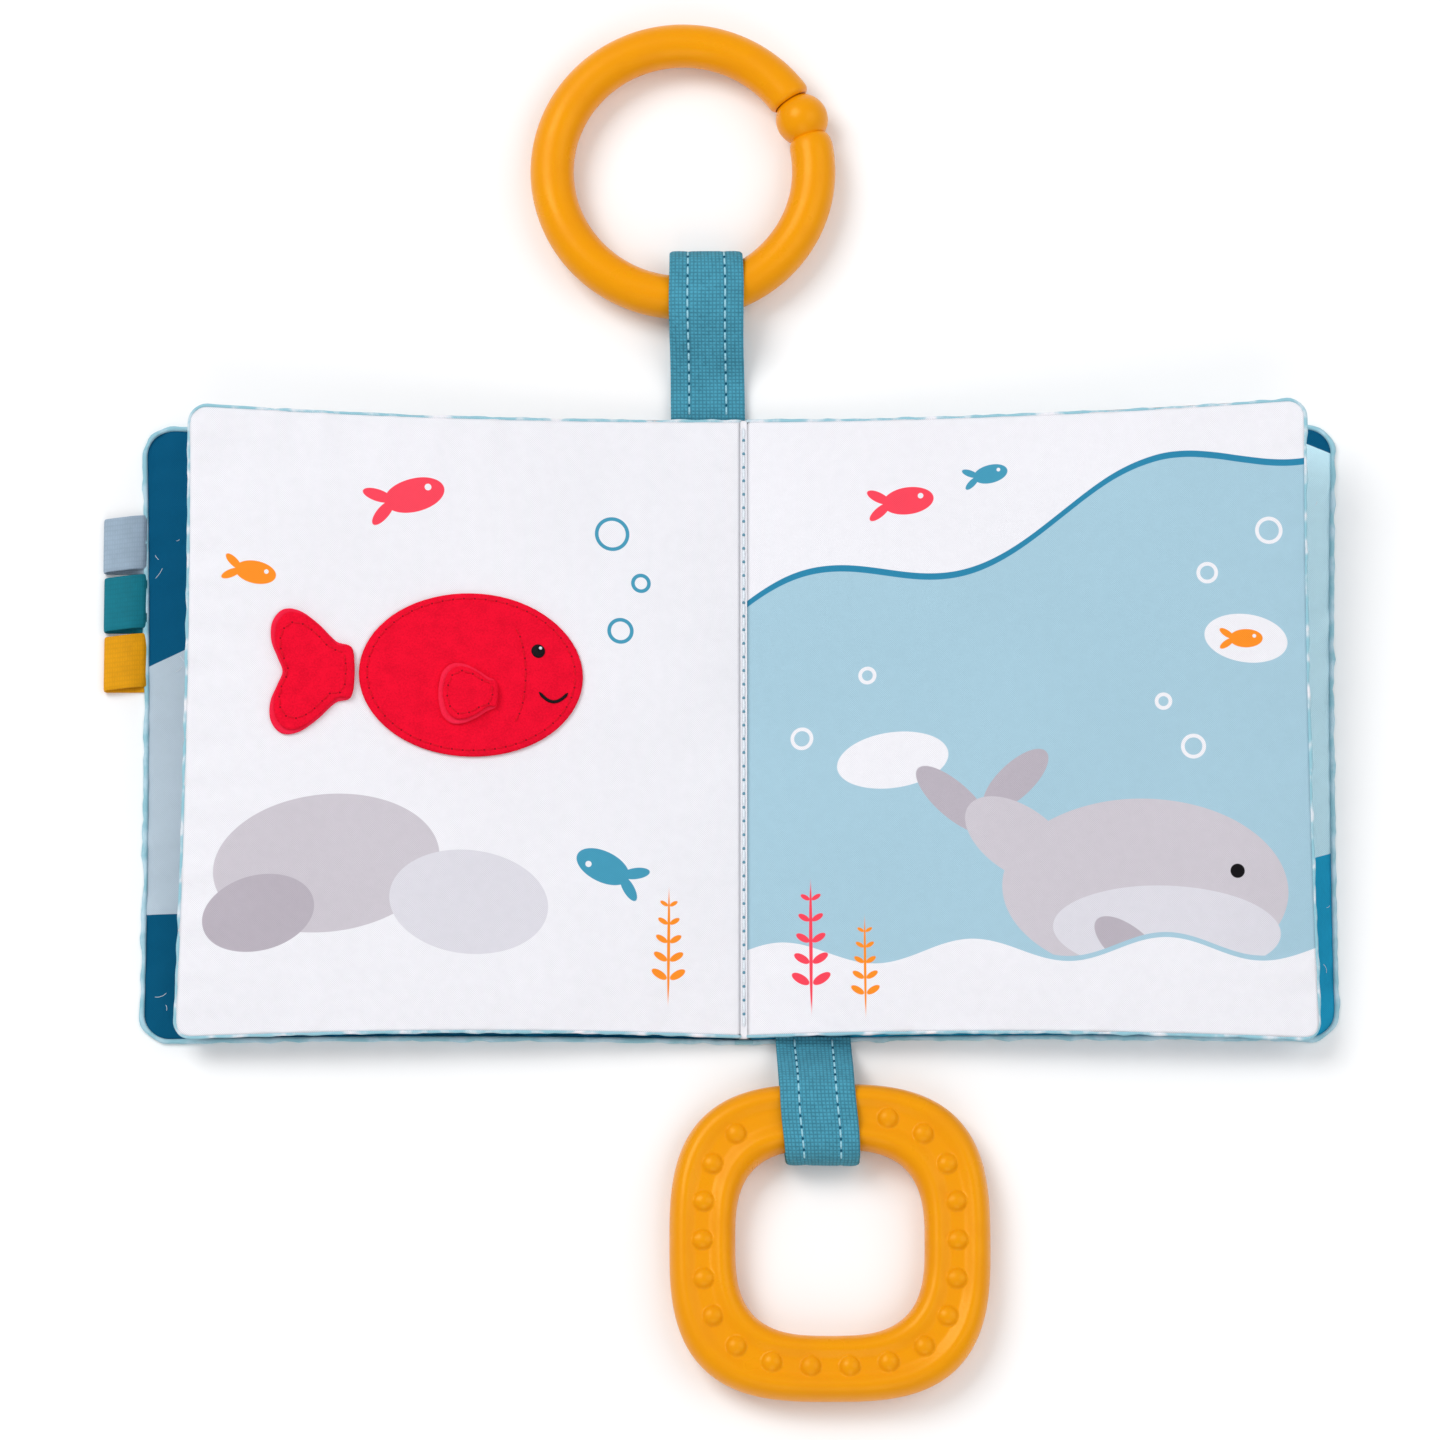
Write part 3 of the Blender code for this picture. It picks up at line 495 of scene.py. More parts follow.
def build_stage():
    """Camera, soft lights and a pale floor."""
    scene = bpy.context.scene
    camera = add_object("camera", bpy.data.cameras.new("camera"))
    camera.data.lens = CAMERA_LENS
    camera.data.sensor_width = CAMERA_SENSOR
    camera.data.clip_end = CAMERA_CLIP
    back = Vector((0, -math.cos(CAMERA_ELEVATION), math.sin(CAMERA_ELEVATION)))
    camera.location = Vector(CAMERA_TARGET) + back * CAMERA_DISTANCE
    camera.rotation_euler = back.to_track_quat("Z", "Y").to_euler()
    scene.camera = camera
    scene.view_settings.view_transform = "Standard"
    scene.world = bpy.data.worlds.new("studio")
    scene.world.use_nodes = True
    background = scene.world.node_tree.nodes["Background"]
    background.inputs["Color"].default_value = WORLD_COLOUR
    background.inputs["Strength"].default_value = WORLD_STRENGTH
    for name, place, size, power in LIGHTS:
        light = add_object(name, bpy.data.lights.new(name, "AREA"))
        light.data.size = size
        light.data.energy = power
        light.location = place
        light.rotation_euler = Vector(place).to_track_quat("Z", "Y").to_euler()
    bm = bmesh.new()
    bmesh.ops.create_grid(bm, x_segments=1, y_segments=1, size=FLOOR_HALF)
    floor = add_object("floor", bpy.data.meshes.new("floor"))
    bm.to_mesh(floor.data)
    bm.free()
    floor.data.materials.append(floor_material())


class Shader:
    """A node material under construction: values are sockets or numbers, tones are screen colours."""

    def __init__(self, name, specular=SPECULAR, **sockets):
        self.material = bpy.data.materials.new(name)
        self.material.use_nodes = True
        self.nodes = self.material.node_tree.nodes
        self.links = self.material.node_tree.links
        self.surface = self.nodes["Principled BSDF"]
        self.surface.inputs["Specular IOR Level"].default_value = specular
        for key, value in sockets.items():
            self.surface.inputs[key.replace("_", " ").title()].default_value = value

    def node(self, kind, inputs=(), **settings):
        made = self.nodes.new("ShaderNode" + kind)
        for key, value in settings.items():
            setattr(made, key, value)
        for key, value in dict(inputs).items():
            if isinstance(value, bpy.types.NodeSocket):
                self.links.new(value, made.inputs[key])
            else:
                made.inputs[key].default_value = value
        return made

    @cached_property
    def place(self):
        """Places on the cloth before it was bent, in metres."""
        return self.node("UVMap", uv_map="flat").outputs[0]

    @cached_property
    def xy(self):
        return self.node("SeparateXYZ", {0: self.place}).outputs[:2]

    def math(self, operation, a, b=0.0, c=0.0):
        return self.node("Math", {0: a, 1: b, 2: c}, operation=operation).outputs[0]

    def sine(self, value, factor):
        return self.math("SINE", self.math("MULTIPLY", value, factor))

    def ramp(self, value, low, high, start=0.0, end=1.0):
        inputs = {0: value, 1: low, 2: high, 3: start, 4: end}
        return self.node("MapRange", inputs, interpolation_type="SMOOTHSTEP").outputs[0]

    def noise(self, size, detail=2.0, roughness=0.5):
        inputs = {"Vector": self.place, "Scale": 1 / size, "Detail": detail, "Roughness": roughness}
        return self.node("TexNoise", inputs).outputs["Fac"]

    def bump(self, height, depth):
        return self.node("Bump", {"Height": height, "Strength": 1.0, "Distance": depth}).outputs[0]

    def mix(self, factor, a, b, blend="MIX"):
        """Colour a, turned into colour b by factor; each is a socket, a list or a tone."""
        a, b = (linear(colour) if isinstance(colour, tuple) else colour for colour in (a, b))
        return self.node("Mix", {0: factor, 6: a, 7: b}, data_type="RGBA", blend_type=blend).outputs[2]

    def shaded(self, colour, factor):
        """Colour times a factor."""
        grey = self.node("CombineColor", {0: factor, 1: factor, 2: factor}).outputs[0]
        return self.mix(1.0, colour, grey, "MULTIPLY")

    def tinted(self, colour, patches, amount):
        """Colour with cloudy dye variation over patches of a size."""
        return self.shaded(colour, self.ramp(self.noise(patches, 4.0), 0.3, 0.7, 1 - amount, 1.0))

    def weave(self, pitch, depth):
        """Crossed threads at a pitch, as a height and a normal."""
        over = self.math("MULTIPLY", *(self.sine(value, 2 * math.pi / pitch) for value in self.xy))
        slub = self.math("MULTIPLY_ADD", self.noise(pitch * 5, 3.0), SLUB_SHARE, 0.5)
        height = self.math("MULTIPLY_ADD", over, 0.5, slub)
        return height, self.bump(height, depth)

    def oval(self, centre, radii, turn=0.0):
        """1 inside a printed oval and 0 outside it."""
        space = {"Vector": self.place, "Location": (*centre, 0), "Rotation": (0, 0, turn), "Scale": (*radii, 1)}
        mapped = self.node("Mapping", space, vector_type="TEXTURE").outputs[0]
        length = self.node("VectorMath", {0: mapped}, operation="LENGTH").outputs["Value"]
        soft = PRINT_EDGE / min(radii)
        return self.ramp(length, 1 - soft, 1 + soft, 1.0, 0.0)

    def ovals(self, colour, ovals):
        for centre, radii, turn, tone in ovals:
            colour = self.mix(self.oval(centre, radii, turn), colour, tone)
        return colour

    def bubbles(self, colour, bubbles, tone):
        for centre, radius in bubbles:
            outer, inner = (self.oval(centre, (size, size)) for size in (radius, radius - BUBBLE_LINE))
            colour = self.mix(self.math("SUBTRACT", outer, inner), colour, tone)
        return colour

    def above(self, height, slope=0.0, swing=0.0, length=1.0, phase=0.0):
        """How far a place lies above a slanting, wavy line, in metres."""
        x, y = self.xy
        rest = self.math("SUBTRACT", y, self.math("MULTIPLY_ADD", x, slope, height))
        if not swing:
            return rest
        turn = self.math("MULTIPLY_ADD", x, 2 * math.pi / length, phase)
        return self.math("SUBTRACT", rest, self.math("MULTIPLY", self.math("SINE", turn), swing))

    def divided(self, distance, low, high):
        """One colour where a signed distance is below zero and another where it is above."""
        return self.mix(self.ramp(distance, -PRINT_EDGE, PRINT_EDGE), low, high)

    def lined(self, colour, distance, line, tone):
        """Colour with a line of some width where a signed distance is zero."""
        width = self.math("ABSOLUTE", distance)
        return self.mix(self.ramp(width, line / 2 - PRINT_EDGE, line / 2 + PRINT_EDGE, 1.0, 0.0), colour, tone)

    def finish(self, **sockets):
        for key, socket in sockets.items():
            self.links.new(socket, self.surface.inputs[key.replace("_", " ").title()])
        return self.material


def floor_material():
    """Pale paper that is clear from below, so that the underside can be seen."""
    shader = Shader("floor", base_color=FLOOR_COLOUR, roughness=0.9)
    clear = shader.node("BsdfTransparent").outputs[0]
    facing = shader.node("NewGeometry").outputs["Backfacing"]
    mixed = shader.node("MixShader", {0: facing, 1: shader.surface.outputs[0], 2: clear})
    shader.links.new(mixed.outputs[0], shader.nodes["Material Output"].inputs["Surface"])
    return shader.material


def cloth_material(name, paint):
    """Printed cotton: paint(shader) gives its colour."""
    shader = Shader(name, roughness=0.85, sheen_weight=0.02, sheen_roughness=0.5)
    height, normal = shader.weave(*COTTON)
    colour = shader.tinted(paint(shader), 0.04, 0.02)
    # Painted shade between the threads and a little painted light on their tops, following the weave's height
    return shader.finish(
        base_color=shader.shaded(colour, shader.ramp(height, 0.1, 1.2, WEAVE_SHADE, 1.05)), normal=normal
    )


def paint_plain(tone):
    return lambda shader: tone


def paint_left_page(shader):
    """Pebbles, bubbles, little fish and a tuft of weed."""
    pebbles = shader.ovals(WHITE, PEBBLES)
    return shader.ovals(shader.bubbles(pebbles, LEFT_BUBBLES, MID_BLUE), LEFT_MOTIFS)


def paint_right_page(shader):
    """A pale sea with a white bank, a wavy blue shore line and a lilac whale."""
    shore, water = shader.above(*SHORE), shader.above(*WATER)
    bank = shader.divided(shore, PALE_BLUE, WHITE)
    sea = shader.ovals(shader.lined(bank, shore, SHORE_LINE, LINE_BLUE), CLOUDS_AND_WHALE)
    colour = shader.lined(shader.divided(water, WHITE, sea), water, WATER_LINE, PALE_BLUE)
    return shader.bubbles(shader.ovals(colour, RIGHT_MOTIFS), RIGHT_BUBBLES, WHITE)


def paint_cover(lines, foot, middle):
    """A cover's lining: navy above one slanting line, and a foot of its own below another."""

    def paint(shader):
        upper, lower = (shader.above(*line) for line in lines)
        return shader.divided(upper, shader.divided(lower, foot, middle), NAVY)

    return paint


def trim_material(name, tones, head=0.0, foot=0.0):
    """Rolled edge cloth that turns between two tones; head and foot add to the second tone there."""
    shader = Shader(name, roughness=0.8, sheen_weight=0.1)
    added = shader.ramp(shader.xy[1], -PAGE_HEIGHT / 2, PAGE_HEIGHT / 2, foot, head)
    patch = shader.math("ADD", shader.noise(TRIM_PATCH, 4.0), added)
    colour = shader.mix(shader.ramp(patch, 0.42, 0.62), *tones)
    return shader.finish(base_color=colour, normal=shader.weave(*TRIM_WEAVE)[1])


def felt_material(name, colour, dark):
    """Pressed wool: short fibres in all directions and a soft pile."""
    shader = Shader(name, roughness=0.95, sheen_weight=0.12, sheen_roughness=0.6, sheen_tint=linear(colour))
    fibre, clump = shader.noise(0.0005, 6.0, 0.75), shader.noise(0.004, 4.0, 0.6)
    mottled = shader.math("ADD", shader.math("MULTIPLY", fibre, 0.6), shader.math("MULTIPLY", clump, 0.4))
    tone = shader.ramp(mottled, 0.35, 0.6, 0.5, 0.0)
    return shader.finish(base_color=shader.mix(tone, colour, dark), normal=shader.bump(fibre, 0.00022))


def thread_material(name, colour):
    """Twisted thread, with the twist running round its length."""
    shader = Shader(name, base_color=linear(colour), roughness=0.55, sheen_weight=0.02)
    turn = shader.math("ADD", *(shader.math("MULTIPLY", v, twist) for v, twist in zip(shader.xy, TWIST)))
    return shader.finish(normal=shader.bump(shader.math("SINE", turn), 0.00004))


def ribbon_material(name, colour, rib_across, rib_along, depth, shade, roughness):
    """Woven ribbon: ribs at one pitch across it and at another along it."""
    shader = Shader(name, roughness=roughness, sheen_weight=0.04)
    ribs = (shader.sine(value, math.pi / rib) for value, rib in zip(shader.xy, (rib_along, rib_across)))
    cross = shader.math("MINIMUM", *(shader.math("ABSOLUTE", rib) for rib in ribs))
    height = shader.math("MULTIPLY_ADD", cross, 0.8, shader.noise(0.0012, 4.0, 0.6))
    # Painted shade between the ribs: the colour darkens where the weave's height is low
    dark = [value * shade for value in linear(colour)[:3]] + [1]
    colour = shader.mix(shader.ramp(height, 0.35, 1.35, 1.0, 0.0), colour, dark)
    return shader.finish(base_color=shader.tinted(colour, 0.006, 0.12), normal=shader.bump(height, depth))


def plastic_material():
    """Moulded mustard plastic with a faint skin and a few rubbed patches."""
    shine = {"specular_tint": PLASTIC_SHINE, "subsurface_weight": 0.08, "subsurface_radius": PLASTIC_GLOW}
    shader = Shader("mustard_plastic", PLASTIC_SPECULAR, roughness=0.33, **shine)
    skin, patch = shader.noise(0.0007, 3.0), shader.noise(0.012, 3.0)
    return shader.finish(
        base_color=shader.mix(shader.ramp(patch, 0.3, 0.75, 0.0, 0.35), MUSTARD, MUSTARD_DEEP),
        roughness=shader.ramp(patch, 0.35, 0.7, 0.27, 0.42),
        normal=shader.bump(skin, 0.00003),
    )


# Meshes

UP = np.array([0, 0, 1])
RAY_TOP = 0.05


def grain(points, scale=1, shift=0):
    """Smooth noise at each of some points."""
    return np.array([noise.noise(Vector(point) * scale + Vector((0, 0, shift))) for point in points])


def lengths(points, axis):
    """Cumulative mean distance along one axis of a grid of points."""
    steps = np.linalg.norm(np.diff(points, axis=axis), axis=-1).mean(axis=1 - axis)
    return np.concatenate([[0], np.cumsum(steps)])


class Pile:
    """Grids of points gathered into one mesh, with places on the flat cloth for each corner."""

    def __init__(self):
        self.verts, self.faces, self.corners = [], [], []

    def add(self, rows, ring=False, flat=None):
        """A grid whose columns close, and whose rows close (ring) or end in caps.

        flat gives the places on the flat cloth, or they come from the distances along the grid.
        """
        rows = np.asarray(rows, float)
        count, width = rows.shape[:2]
        base = len(self.verts)
        self.verts += [tuple(point) for point in rows.reshape(-1, 3)]
        shown = np.concatenate([rows, rows[:, :1]], axis=1)
        if ring:
            shown = np.concatenate([shown, shown[:1]])
        along, across = lengths(shown, 0), lengths(shown, 1)

        def spot(row, column):
            if flat is None:
                return along[row], across[column]
            return tuple(flat[row % count][column % width])

        for i in range(count if ring else count - 1):
            for j in range(width):
                corners = ((i, j), (i, j + 1), (i + 1, j + 1), (i + 1, j))
                self.faces.append(tuple(base + r % count * width + c % width for r, c in corners))
                self.corners += [spot(r, c) for r, c in corners]
        for row, turn in () if ring else ((0, -1), (count - 1, 1)):
            self.faces.append(tuple(base + row * width + c for c in range(width))[::turn])
            self.corners += [spot(row, c) for c in range(width)]

    def build(self, name, *materials, slots=None):
        return add_mesh(name, self.verts, self.faces, self.corners, materials, slots)


def add_mesh(name, verts, faces, corners, materials, slots):
    mesh = bpy.data.meshes.new(name)
    mesh.from_pydata(verts, [], faces)
    for material in materials:
        mesh.materials.append(material)
    if slots is not None:
        mesh.polygons.foreach_set("material_index", slots)
    layer = mesh.uv_layers.new(name="flat")
    layer.data.foreach_set("uv", np.asarray(corners, np.float32).ravel())
    bm = bmesh.new()
    bm.from_mesh(mesh)
    bmesh.ops.recalc_face_normals(bm, faces=bm.faces[:])
    bm.to_mesh(mesh)
    bm.free()
    mesh.shade_smooth()
    return add_object(name, mesh)


def solid(name, grids, material, ring=False):
    """One piece made of closed grids of points."""
    pile = Pile()
    for rows in grids:
        pile.add(rows, ring)
    return pile.build(name, material)


def dress(piece, slot, body, *nodes):
    """Hides the nodes a piece stands for and makes it ride on a body; slot is not used."""
    if nodes:
        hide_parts(*nodes)
    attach(piece, body)


def unit(vectors):
    return vectors / np.linalg.norm(vectors, axis=-1, keepdims=True)


def tube_rows(path, radius, sides):
    """Rings of points round a path; radius is one value or one for each point."""
    path = np.asarray(path, float)
    run = np.gradient(path, axis=0)
    side = unit(np.cross(UP, run))
    rise = unit(np.cross(run, side))
    angle = np.linspace(0, 2 * np.pi, sides, endpoint=False)
    radius = np.broadcast_to(radius, len(path))[:, None, None]
    around = np.cos(angle)[None, :, None] * side[:, None] + np.sin(angle)[None, :, None] * rise[:, None]
    return path[:, None] + radius * around


def capsule(start, end, radius, sink=0.0):
    """A stitch: a short thread with round ends that dips into the cloth by sink at both."""
    path = start + (end - start) * STITCH_SHARES[:, None]
    path[:, 2] -= sink * (2 * STITCH_SHARES - 1) ** 4
    return tube_rows(path, radius * STITCH_RADII, STITCH_SIDES)


def along_path(path, pitch):
    """Places at even steps along a path."""
    path = np.asarray(path, float)
    runs = np.linalg.norm(np.diff(path, axis=0), axis=1)
    travelled = np.concatenate([[0], np.cumsum(runs)])
    count = max(1, round(travelled[-1] / pitch))
    wanted = np.linspace(0, travelled[-1], count + 1)
    return np.stack([np.interp(wanted, travelled, path[:, k]) for k in range(3)], axis=1)


def sew(name, paths, pitch, dash_share, radius, materials, sink):
    """Rows of stitches and the needle holes between them, as one piece; materials are for both, the holes' one a dark
    colour of painted shade.
    """
    pile = Pile()
    slots = []
    for path in paths:
        points = along_path(path, pitch)
        for start, after in zip(points, points[1:]):
            gap = (after - start) * (1 - dash_share) / 2
            pile.add(capsule(start + gap, after - gap, radius, sink))
        slots += [0] * (len(pile.faces) - len(slots))
        # Needle holes: small dark capsules sunk into the cloth, painted shade where the thread goes in
        for before, point, after in zip(points, points[1:], points[2:]):
            run = unit(after - before) * radius * HOLE_LENGTH_SHARE
            point = point - UP * radius * HOLE_SINK_SHARE
            pile.add(capsule(point - run, point + run, radius * HOLE_WIDTH_SHARE))
        slots += [1] * (len(pile.faces) - len(slots))
    return pile.build(name, *materials, slots=slots)


# Leaves


def shares(count):
    """Shares from -1 to 1 that crowd a little towards both ends."""
    even = np.linspace(-1, 1, count + 1)
    return 0.7 * even + 0.3 * np.sin(even * np.pi / 2)


class Leaf:
    """One padded leaf: two cloths sewn together round the rim, in the frame of the hinge."""

    def __init__(self, name, seed, side, start, width, height, corner, on_table):
        self.name = name
        self.seed = seed
        self.side = side
        self.start = start
        self.half_width = (width - RIM_INSET - start) / 2
        self.half_height = height / 2 - RIM_INSET
        self.corner = corner
        self.on_table = on_table
        columns, rows = (round(2 * half / GRID_STEP) for half in (self.half_width, self.half_height))
        self.top = np.arange((columns + 1) * (rows + 1)).reshape(columns + 1, rows + 1)
        self.bottom = self.top.copy()
        inner = (columns - 1) * (rows - 1)
        self.bottom[1:-1, 1:-1] = self.top.size + np.arange(inner).reshape(columns - 1, rows - 1)
        grid = np.meshgrid(shares(columns), shares(rows), indexing="ij")
        self.u, self.v = (np.concatenate([share.ravel(), share[1:-1, 1:-1].ravel()]) for share in grid)
        self.level = np.concatenate([np.ones(self.top.size), -np.ones(inner)])
        self.rim = np.maximum(np.abs(self.u), np.abs(self.v)) > 1 - TINY
        self.level[self.rim] = 0
        self.across = (1 - np.abs(self.u)) * self.half_width
        self.down = (1 - np.abs(self.v)) * self.half_height
        self.depth = np.minimum(self.across, self.down)
        self.flat = self.plan(self.u, self.v)
        self.faces = []
        for layer in (self.top, self.bottom):
            quads = np.stack([layer[:-1, :-1], layer[1:, :-1], layer[1:, 1:], layer[:-1, 1:]], axis=-1)
            turn = 1 if (layer is self.top) == (side > 0) else -1
            self.faces += [tuple(quad)[::turn] for quad in quads.reshape(-1, 4)]

    def plan(self, u, v):
        """Where shares of the width and height lie, with drawn-in sides and round corners."""
        x = u * self.half_width - SIDE_PULL * np.maximum(u, 0) * (1 - v * v)
        y = np.abs(v) * (self.half_height - SIDE_PULL * (1 - u * u))
        along = (x - self.half_width + self.corner) / self.corner
        across = (y - self.half_height + self.corner) / self.corner
        turned = (along > 0) & (across > 0)
        along, across = np.clip(along, 0, 1), np.clip(across, 0, 1)
        round_x = self.half_width - self.corner * (1 - along * np.sqrt(1 - across**2 / 2))
        round_y = self.half_height - self.corner * (1 - across * np.sqrt(1 - along**2 / 2))
        x = self.start + self.half_width + np.where(turned, round_x, x)
        y = np.copysign(np.where(turned, round_y, y), v)
        for (out, up), (far, head) in zip(CORNER_SHIFTS[self.name], ((0, 0), (0, 1), (1, 0), (1, 1))):
            share = np.where(far, 1 + u, 1 - u) * np.where(head, 1 + v, 1 - v) / 4
            x, y = x + out * share, y + up * share
        return np.stack([self.side * x, y], axis=-1)

    def start_points(self):
        """The leaf as sewn, flat, with a first trace of the puckers along the seams."""
        crown = np.sqrt(np.clip(self.depth / CROWN_REACH, 0, 1))
        height = self.level * SEWN_HALF * crown
        wobble = grain(np.column_stack([self.flat * PUCKER_SCALE, self.seed + self.level]))
        height += np.where(self.rim, 0, wobble * SEWN_HALF * PUCKER_SHARE)
        return np.column_stack([self.flat, height])

    def settle(self, points):
        """Simulated points, brought to the leaf's real thickness and laid in place."""
        drift = points[:, :2] - self.flat
        size = np.linalg.norm(drift, axis=1, keepdims=True)
        drift *= np.minimum(1, MAX_DRIFT / np.maximum(size, TINY))
        place = self.flat + drift
        swell = points[:, 2] / max(np.abs(points[:, 2]).max(), TINY)
        filled = np.sign(swell) * (1 - (1 - np.clip(np.abs(swell), 0, 1)) ** PLATEAU_POWER)
        dents = grain(np.column_stack([place, np.full(len(place), self.seed * 7)]), DENT_SCALE)
        filled *= 1 - DENT_SHARE * (0.5 + dents)
        plump = LEAF_THICKNESS / 2 * np.abs(filled)
        folded = plump + self.level * self.puckers(place)
        half = self.level * np.maximum(folded, FOLD_KEEP_SHARE * plump)
        if self.on_table:
            low = COVER_FLOOR + COVER_EDGE_LIFT * np.clip(1 - self.depth / CROWN_REACH, 0, 1)
            thick = self.thickness(np.abs(half))
            height = -HINGE.z + low + np.where(self.level > 0, thick, 0) + np.where(self.rim, TRIM_RADIUS, 0)
        else:
            reach = np.maximum(0, (1 + self.u) / 2) ** 2
            bend = reach * (PAGE_TOP_LIFT * (1 + self.v) - PAGE_FOOT_DROP * (1 - self.v)) / 2
            height = bend - PAGE_DROP + half
        self.points = np.column_stack([place, height])

    def puckers(self, place):
        """Short folds square to the seams, fading away from them."""
        height = np.zeros(len(place))
        for depth, along, offset in ((self.down, place[:, 0], 0), (self.across, place[:, 1], 40)):
            spots = (along * FOLD_SCALE, depth * FOLD_SCALE * FOLD_STRETCH, self.seed * 5 + offset + self.level)
            rise = np.clip(depth / FOLD_START, 0, 1)
            height += FOLD_HEIGHT * grain(np.column_stack(spots)) * rise * np.exp(-depth / FOLD_REACH)
        return height * np.clip((1 + self.u) * self.half_width / SPINE_CALM, SPINE_FOLD_SHARE, 1)

    def thickness(self, half):
        """Thickness of the leaf at each of its points, from those of both of its cloths."""
        total = half.copy()
        upper, lower = self.top[1:-1, 1:-1].ravel(), self.bottom[1:-1, 1:-1].ravel()
        total[upper] = total[lower] = half[upper] + half[lower]
        return total

    def world(self, points):
        """Points of the hinge's frame in the row frame."""
        points = np.asarray(points, float)
        if self.on_table:
            return points + np.array(HINGE)
        angle = -self.side * PAGE_SLOPE
        x = points[..., 0] * math.cos(angle) + points[..., 2] * math.sin(angle)
        z = -points[..., 0] * math.sin(angle) + points[..., 2] * math.cos(angle)
        return np.stack([x, points[..., 1], z], axis=-1) + np.array(HINGE)

    def build(self, *cloths):
        """The sewn leaf as one piece, with an upper and a lower cloth."""
        corners = [tuple(self.flat[index]) for face in self.faces for index in face]
        half = len(self.faces) // 2
        verts = [tuple(p) for p in self.world(self.points)]
        self.tree = BVHTree.FromPolygons([tuple(p) for p in self.points], self.faces)
        return add_mesh(self.name + "_padded", verts, self.faces, corners, cloths, [0] * half + [1] * half)

    def rim_path(self):
        """The sewn edge, from the spine's top round the free sides to the spine's foot."""
        indices = list(self.top[:, -1]) + list(self.top[-1, -2::-1]) + list(self.top[-2::-1, 0])
        return self.points[indices]

    def attach(self, piece):
        """Makes a piece of a cover ride on the cover's body; a piece of a page only has its transform baked."""
        if self.on_table:
            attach(piece, self.name)
        else:
            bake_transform(piece)


def top_of(trees, x, y):
    """Height of the highest of some surfaces at a place in the hinge's frame."""
    heights = [tree.ray_cast(Vector((x, y, RAY_TOP)), Vector((0, 0, -1)))[0] for tree in trees]
    return max(hit.z for hit in heights if hit)


def sew_and_fill(leaves):
    """Inflates the sewn leaves with cloth simulation, all side by side, and settles each."""
    scene = bpy.context.scene
    sewn = []
    for leaf in leaves:
        mesh = bpy.data.meshes.new(leaf.name + "_sewn")
        mesh.from_pydata([tuple(p) for p in leaf.start_points() * SIM_SCALE], [], leaf.faces)
        obj = add_object(mesh.name, mesh)
        sewn.append(obj)
        rim = obj.vertex_groups.new(name="rim")
        rim.add(np.flatnonzero(leaf.rim).tolist(), 1, "REPLACE")
        slack = obj.vertex_groups.new(name="slack")
        for index, weight in enumerate(np.exp(-leaf.depth / PUCKER_REACH)):
            slack.add([index], float(weight), "REPLACE")
        cloth = obj.modifiers.new("cloth", "CLOTH")
        cloth.point_cache.frame_start = 1
        cloth.point_cache.frame_end = SIM_FRAMES
        for key, value in CLOTH.items():
            setattr(cloth.settings, key, value)
        cloth.settings.effector_weights.gravity = 0
        cloth.collision_settings.use_collision = False
    for step in range(1, SIM_FRAMES + 1):
        scene.frame_set(step)
    graph = bpy.context.evaluated_depsgraph_get()
    for leaf, obj in zip(leaves, sewn):
        result = obj.evaluated_get(graph).data
        points = np.zeros(len(result.vertices) * 3)
        result.vertices.foreach_get("co", points)
        leaf.settle(points.reshape(-1, 3) / SIM_SCALE)
        mesh = obj.data
        bpy.data.objects.remove(obj)
        bpy.data.meshes.remove(mesh)
    scene.frame_set(1)


def build_leaves(materials):
    """The four sewn leaves with their rolled edges."""
    leaves = {name: Leaf(name, seed, *row[:-2]) for seed, (name, row) in enumerate(LEAVES.items(), 1)}
    sew_and_fill(leaves.values())
    for name, leaf in leaves.items():
        padded = leaf.build(materials[name], materials[name + "_under"])
        nodes = [f"{name}_{part}" for part in ("lower_fabric", "upper_fabric", "wadding", "crinkle_film")]
        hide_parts(*nodes)
        leaf.attach(padded)
        trim = build_trim(leaf, materials["cover_trim" if leaf.on_table else "page_trim"])
        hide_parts(name + "_edge")
        leaf.attach(trim)
    return leaves


def build_trim(leaf, material):
    """The rolled edge: an uneven roll of cloth just outside the seam."""
    path = leaf.rim_path()
    run = unit(np.gradient(path[:, :2], axis=0))
    out = leaf.side * np.column_stack([-run[:, 1], run[:, 0]])
    base = COVER_TRIM_RADIUS if leaf.on_table else TRIM_RADIUS
    inset, drop = (0, 0) if leaf.on_table else (PAGE_TRIM_INSET, base * PAGE_TRIM_DROP)
    rough = grain(np.column_stack([path[:, :2], np.zeros(len(path))]), TRIM_ROUGH_SCALE, leaf.seed)
    path[:, :2] += out * (base * TRIM_WANDER_SHARE * rough - inset)[:, None]
    path[:, 2] -= drop
    rows = tube_rows(leaf.world(path), base * (1 + TRIM_ROUGH_SHARE * rough), TRIM_SIDES)
    rows[..., 2] = np.maximum(rows[..., 2], COVER_FLOOR)
    return solid(leaf.name + "_rolled_edge", [rows], material)


def band_rows(half, foot, height, thick):
    """A strip of cloth over the spine, with a dip along the stitches."""
    length = PAGE_HEIGHT / 2 - RIM_INSET
    x = np.linspace(-half, half, BAND_COLUMNS)
    rows = []
    for y in np.arange(-length - foot, length + BAND_STEP / 2, BAND_STEP):
        wave = BAND_WAVE[0] - BAND_WAVE[1] * math.cos(2 * math.pi * y / STITCH_PITCH)
        top = height + thick / 2 - BAND_DIP * np.exp(-((x / BAND_VALLEY) ** 2)) * wave
        upper, lower = (np.column_stack(np.broadcast_arrays(x, y, z)) for z in (top, height - thick / 2))
        rows.append(np.concatenate([upper, lower[::-1]]))
    return rows


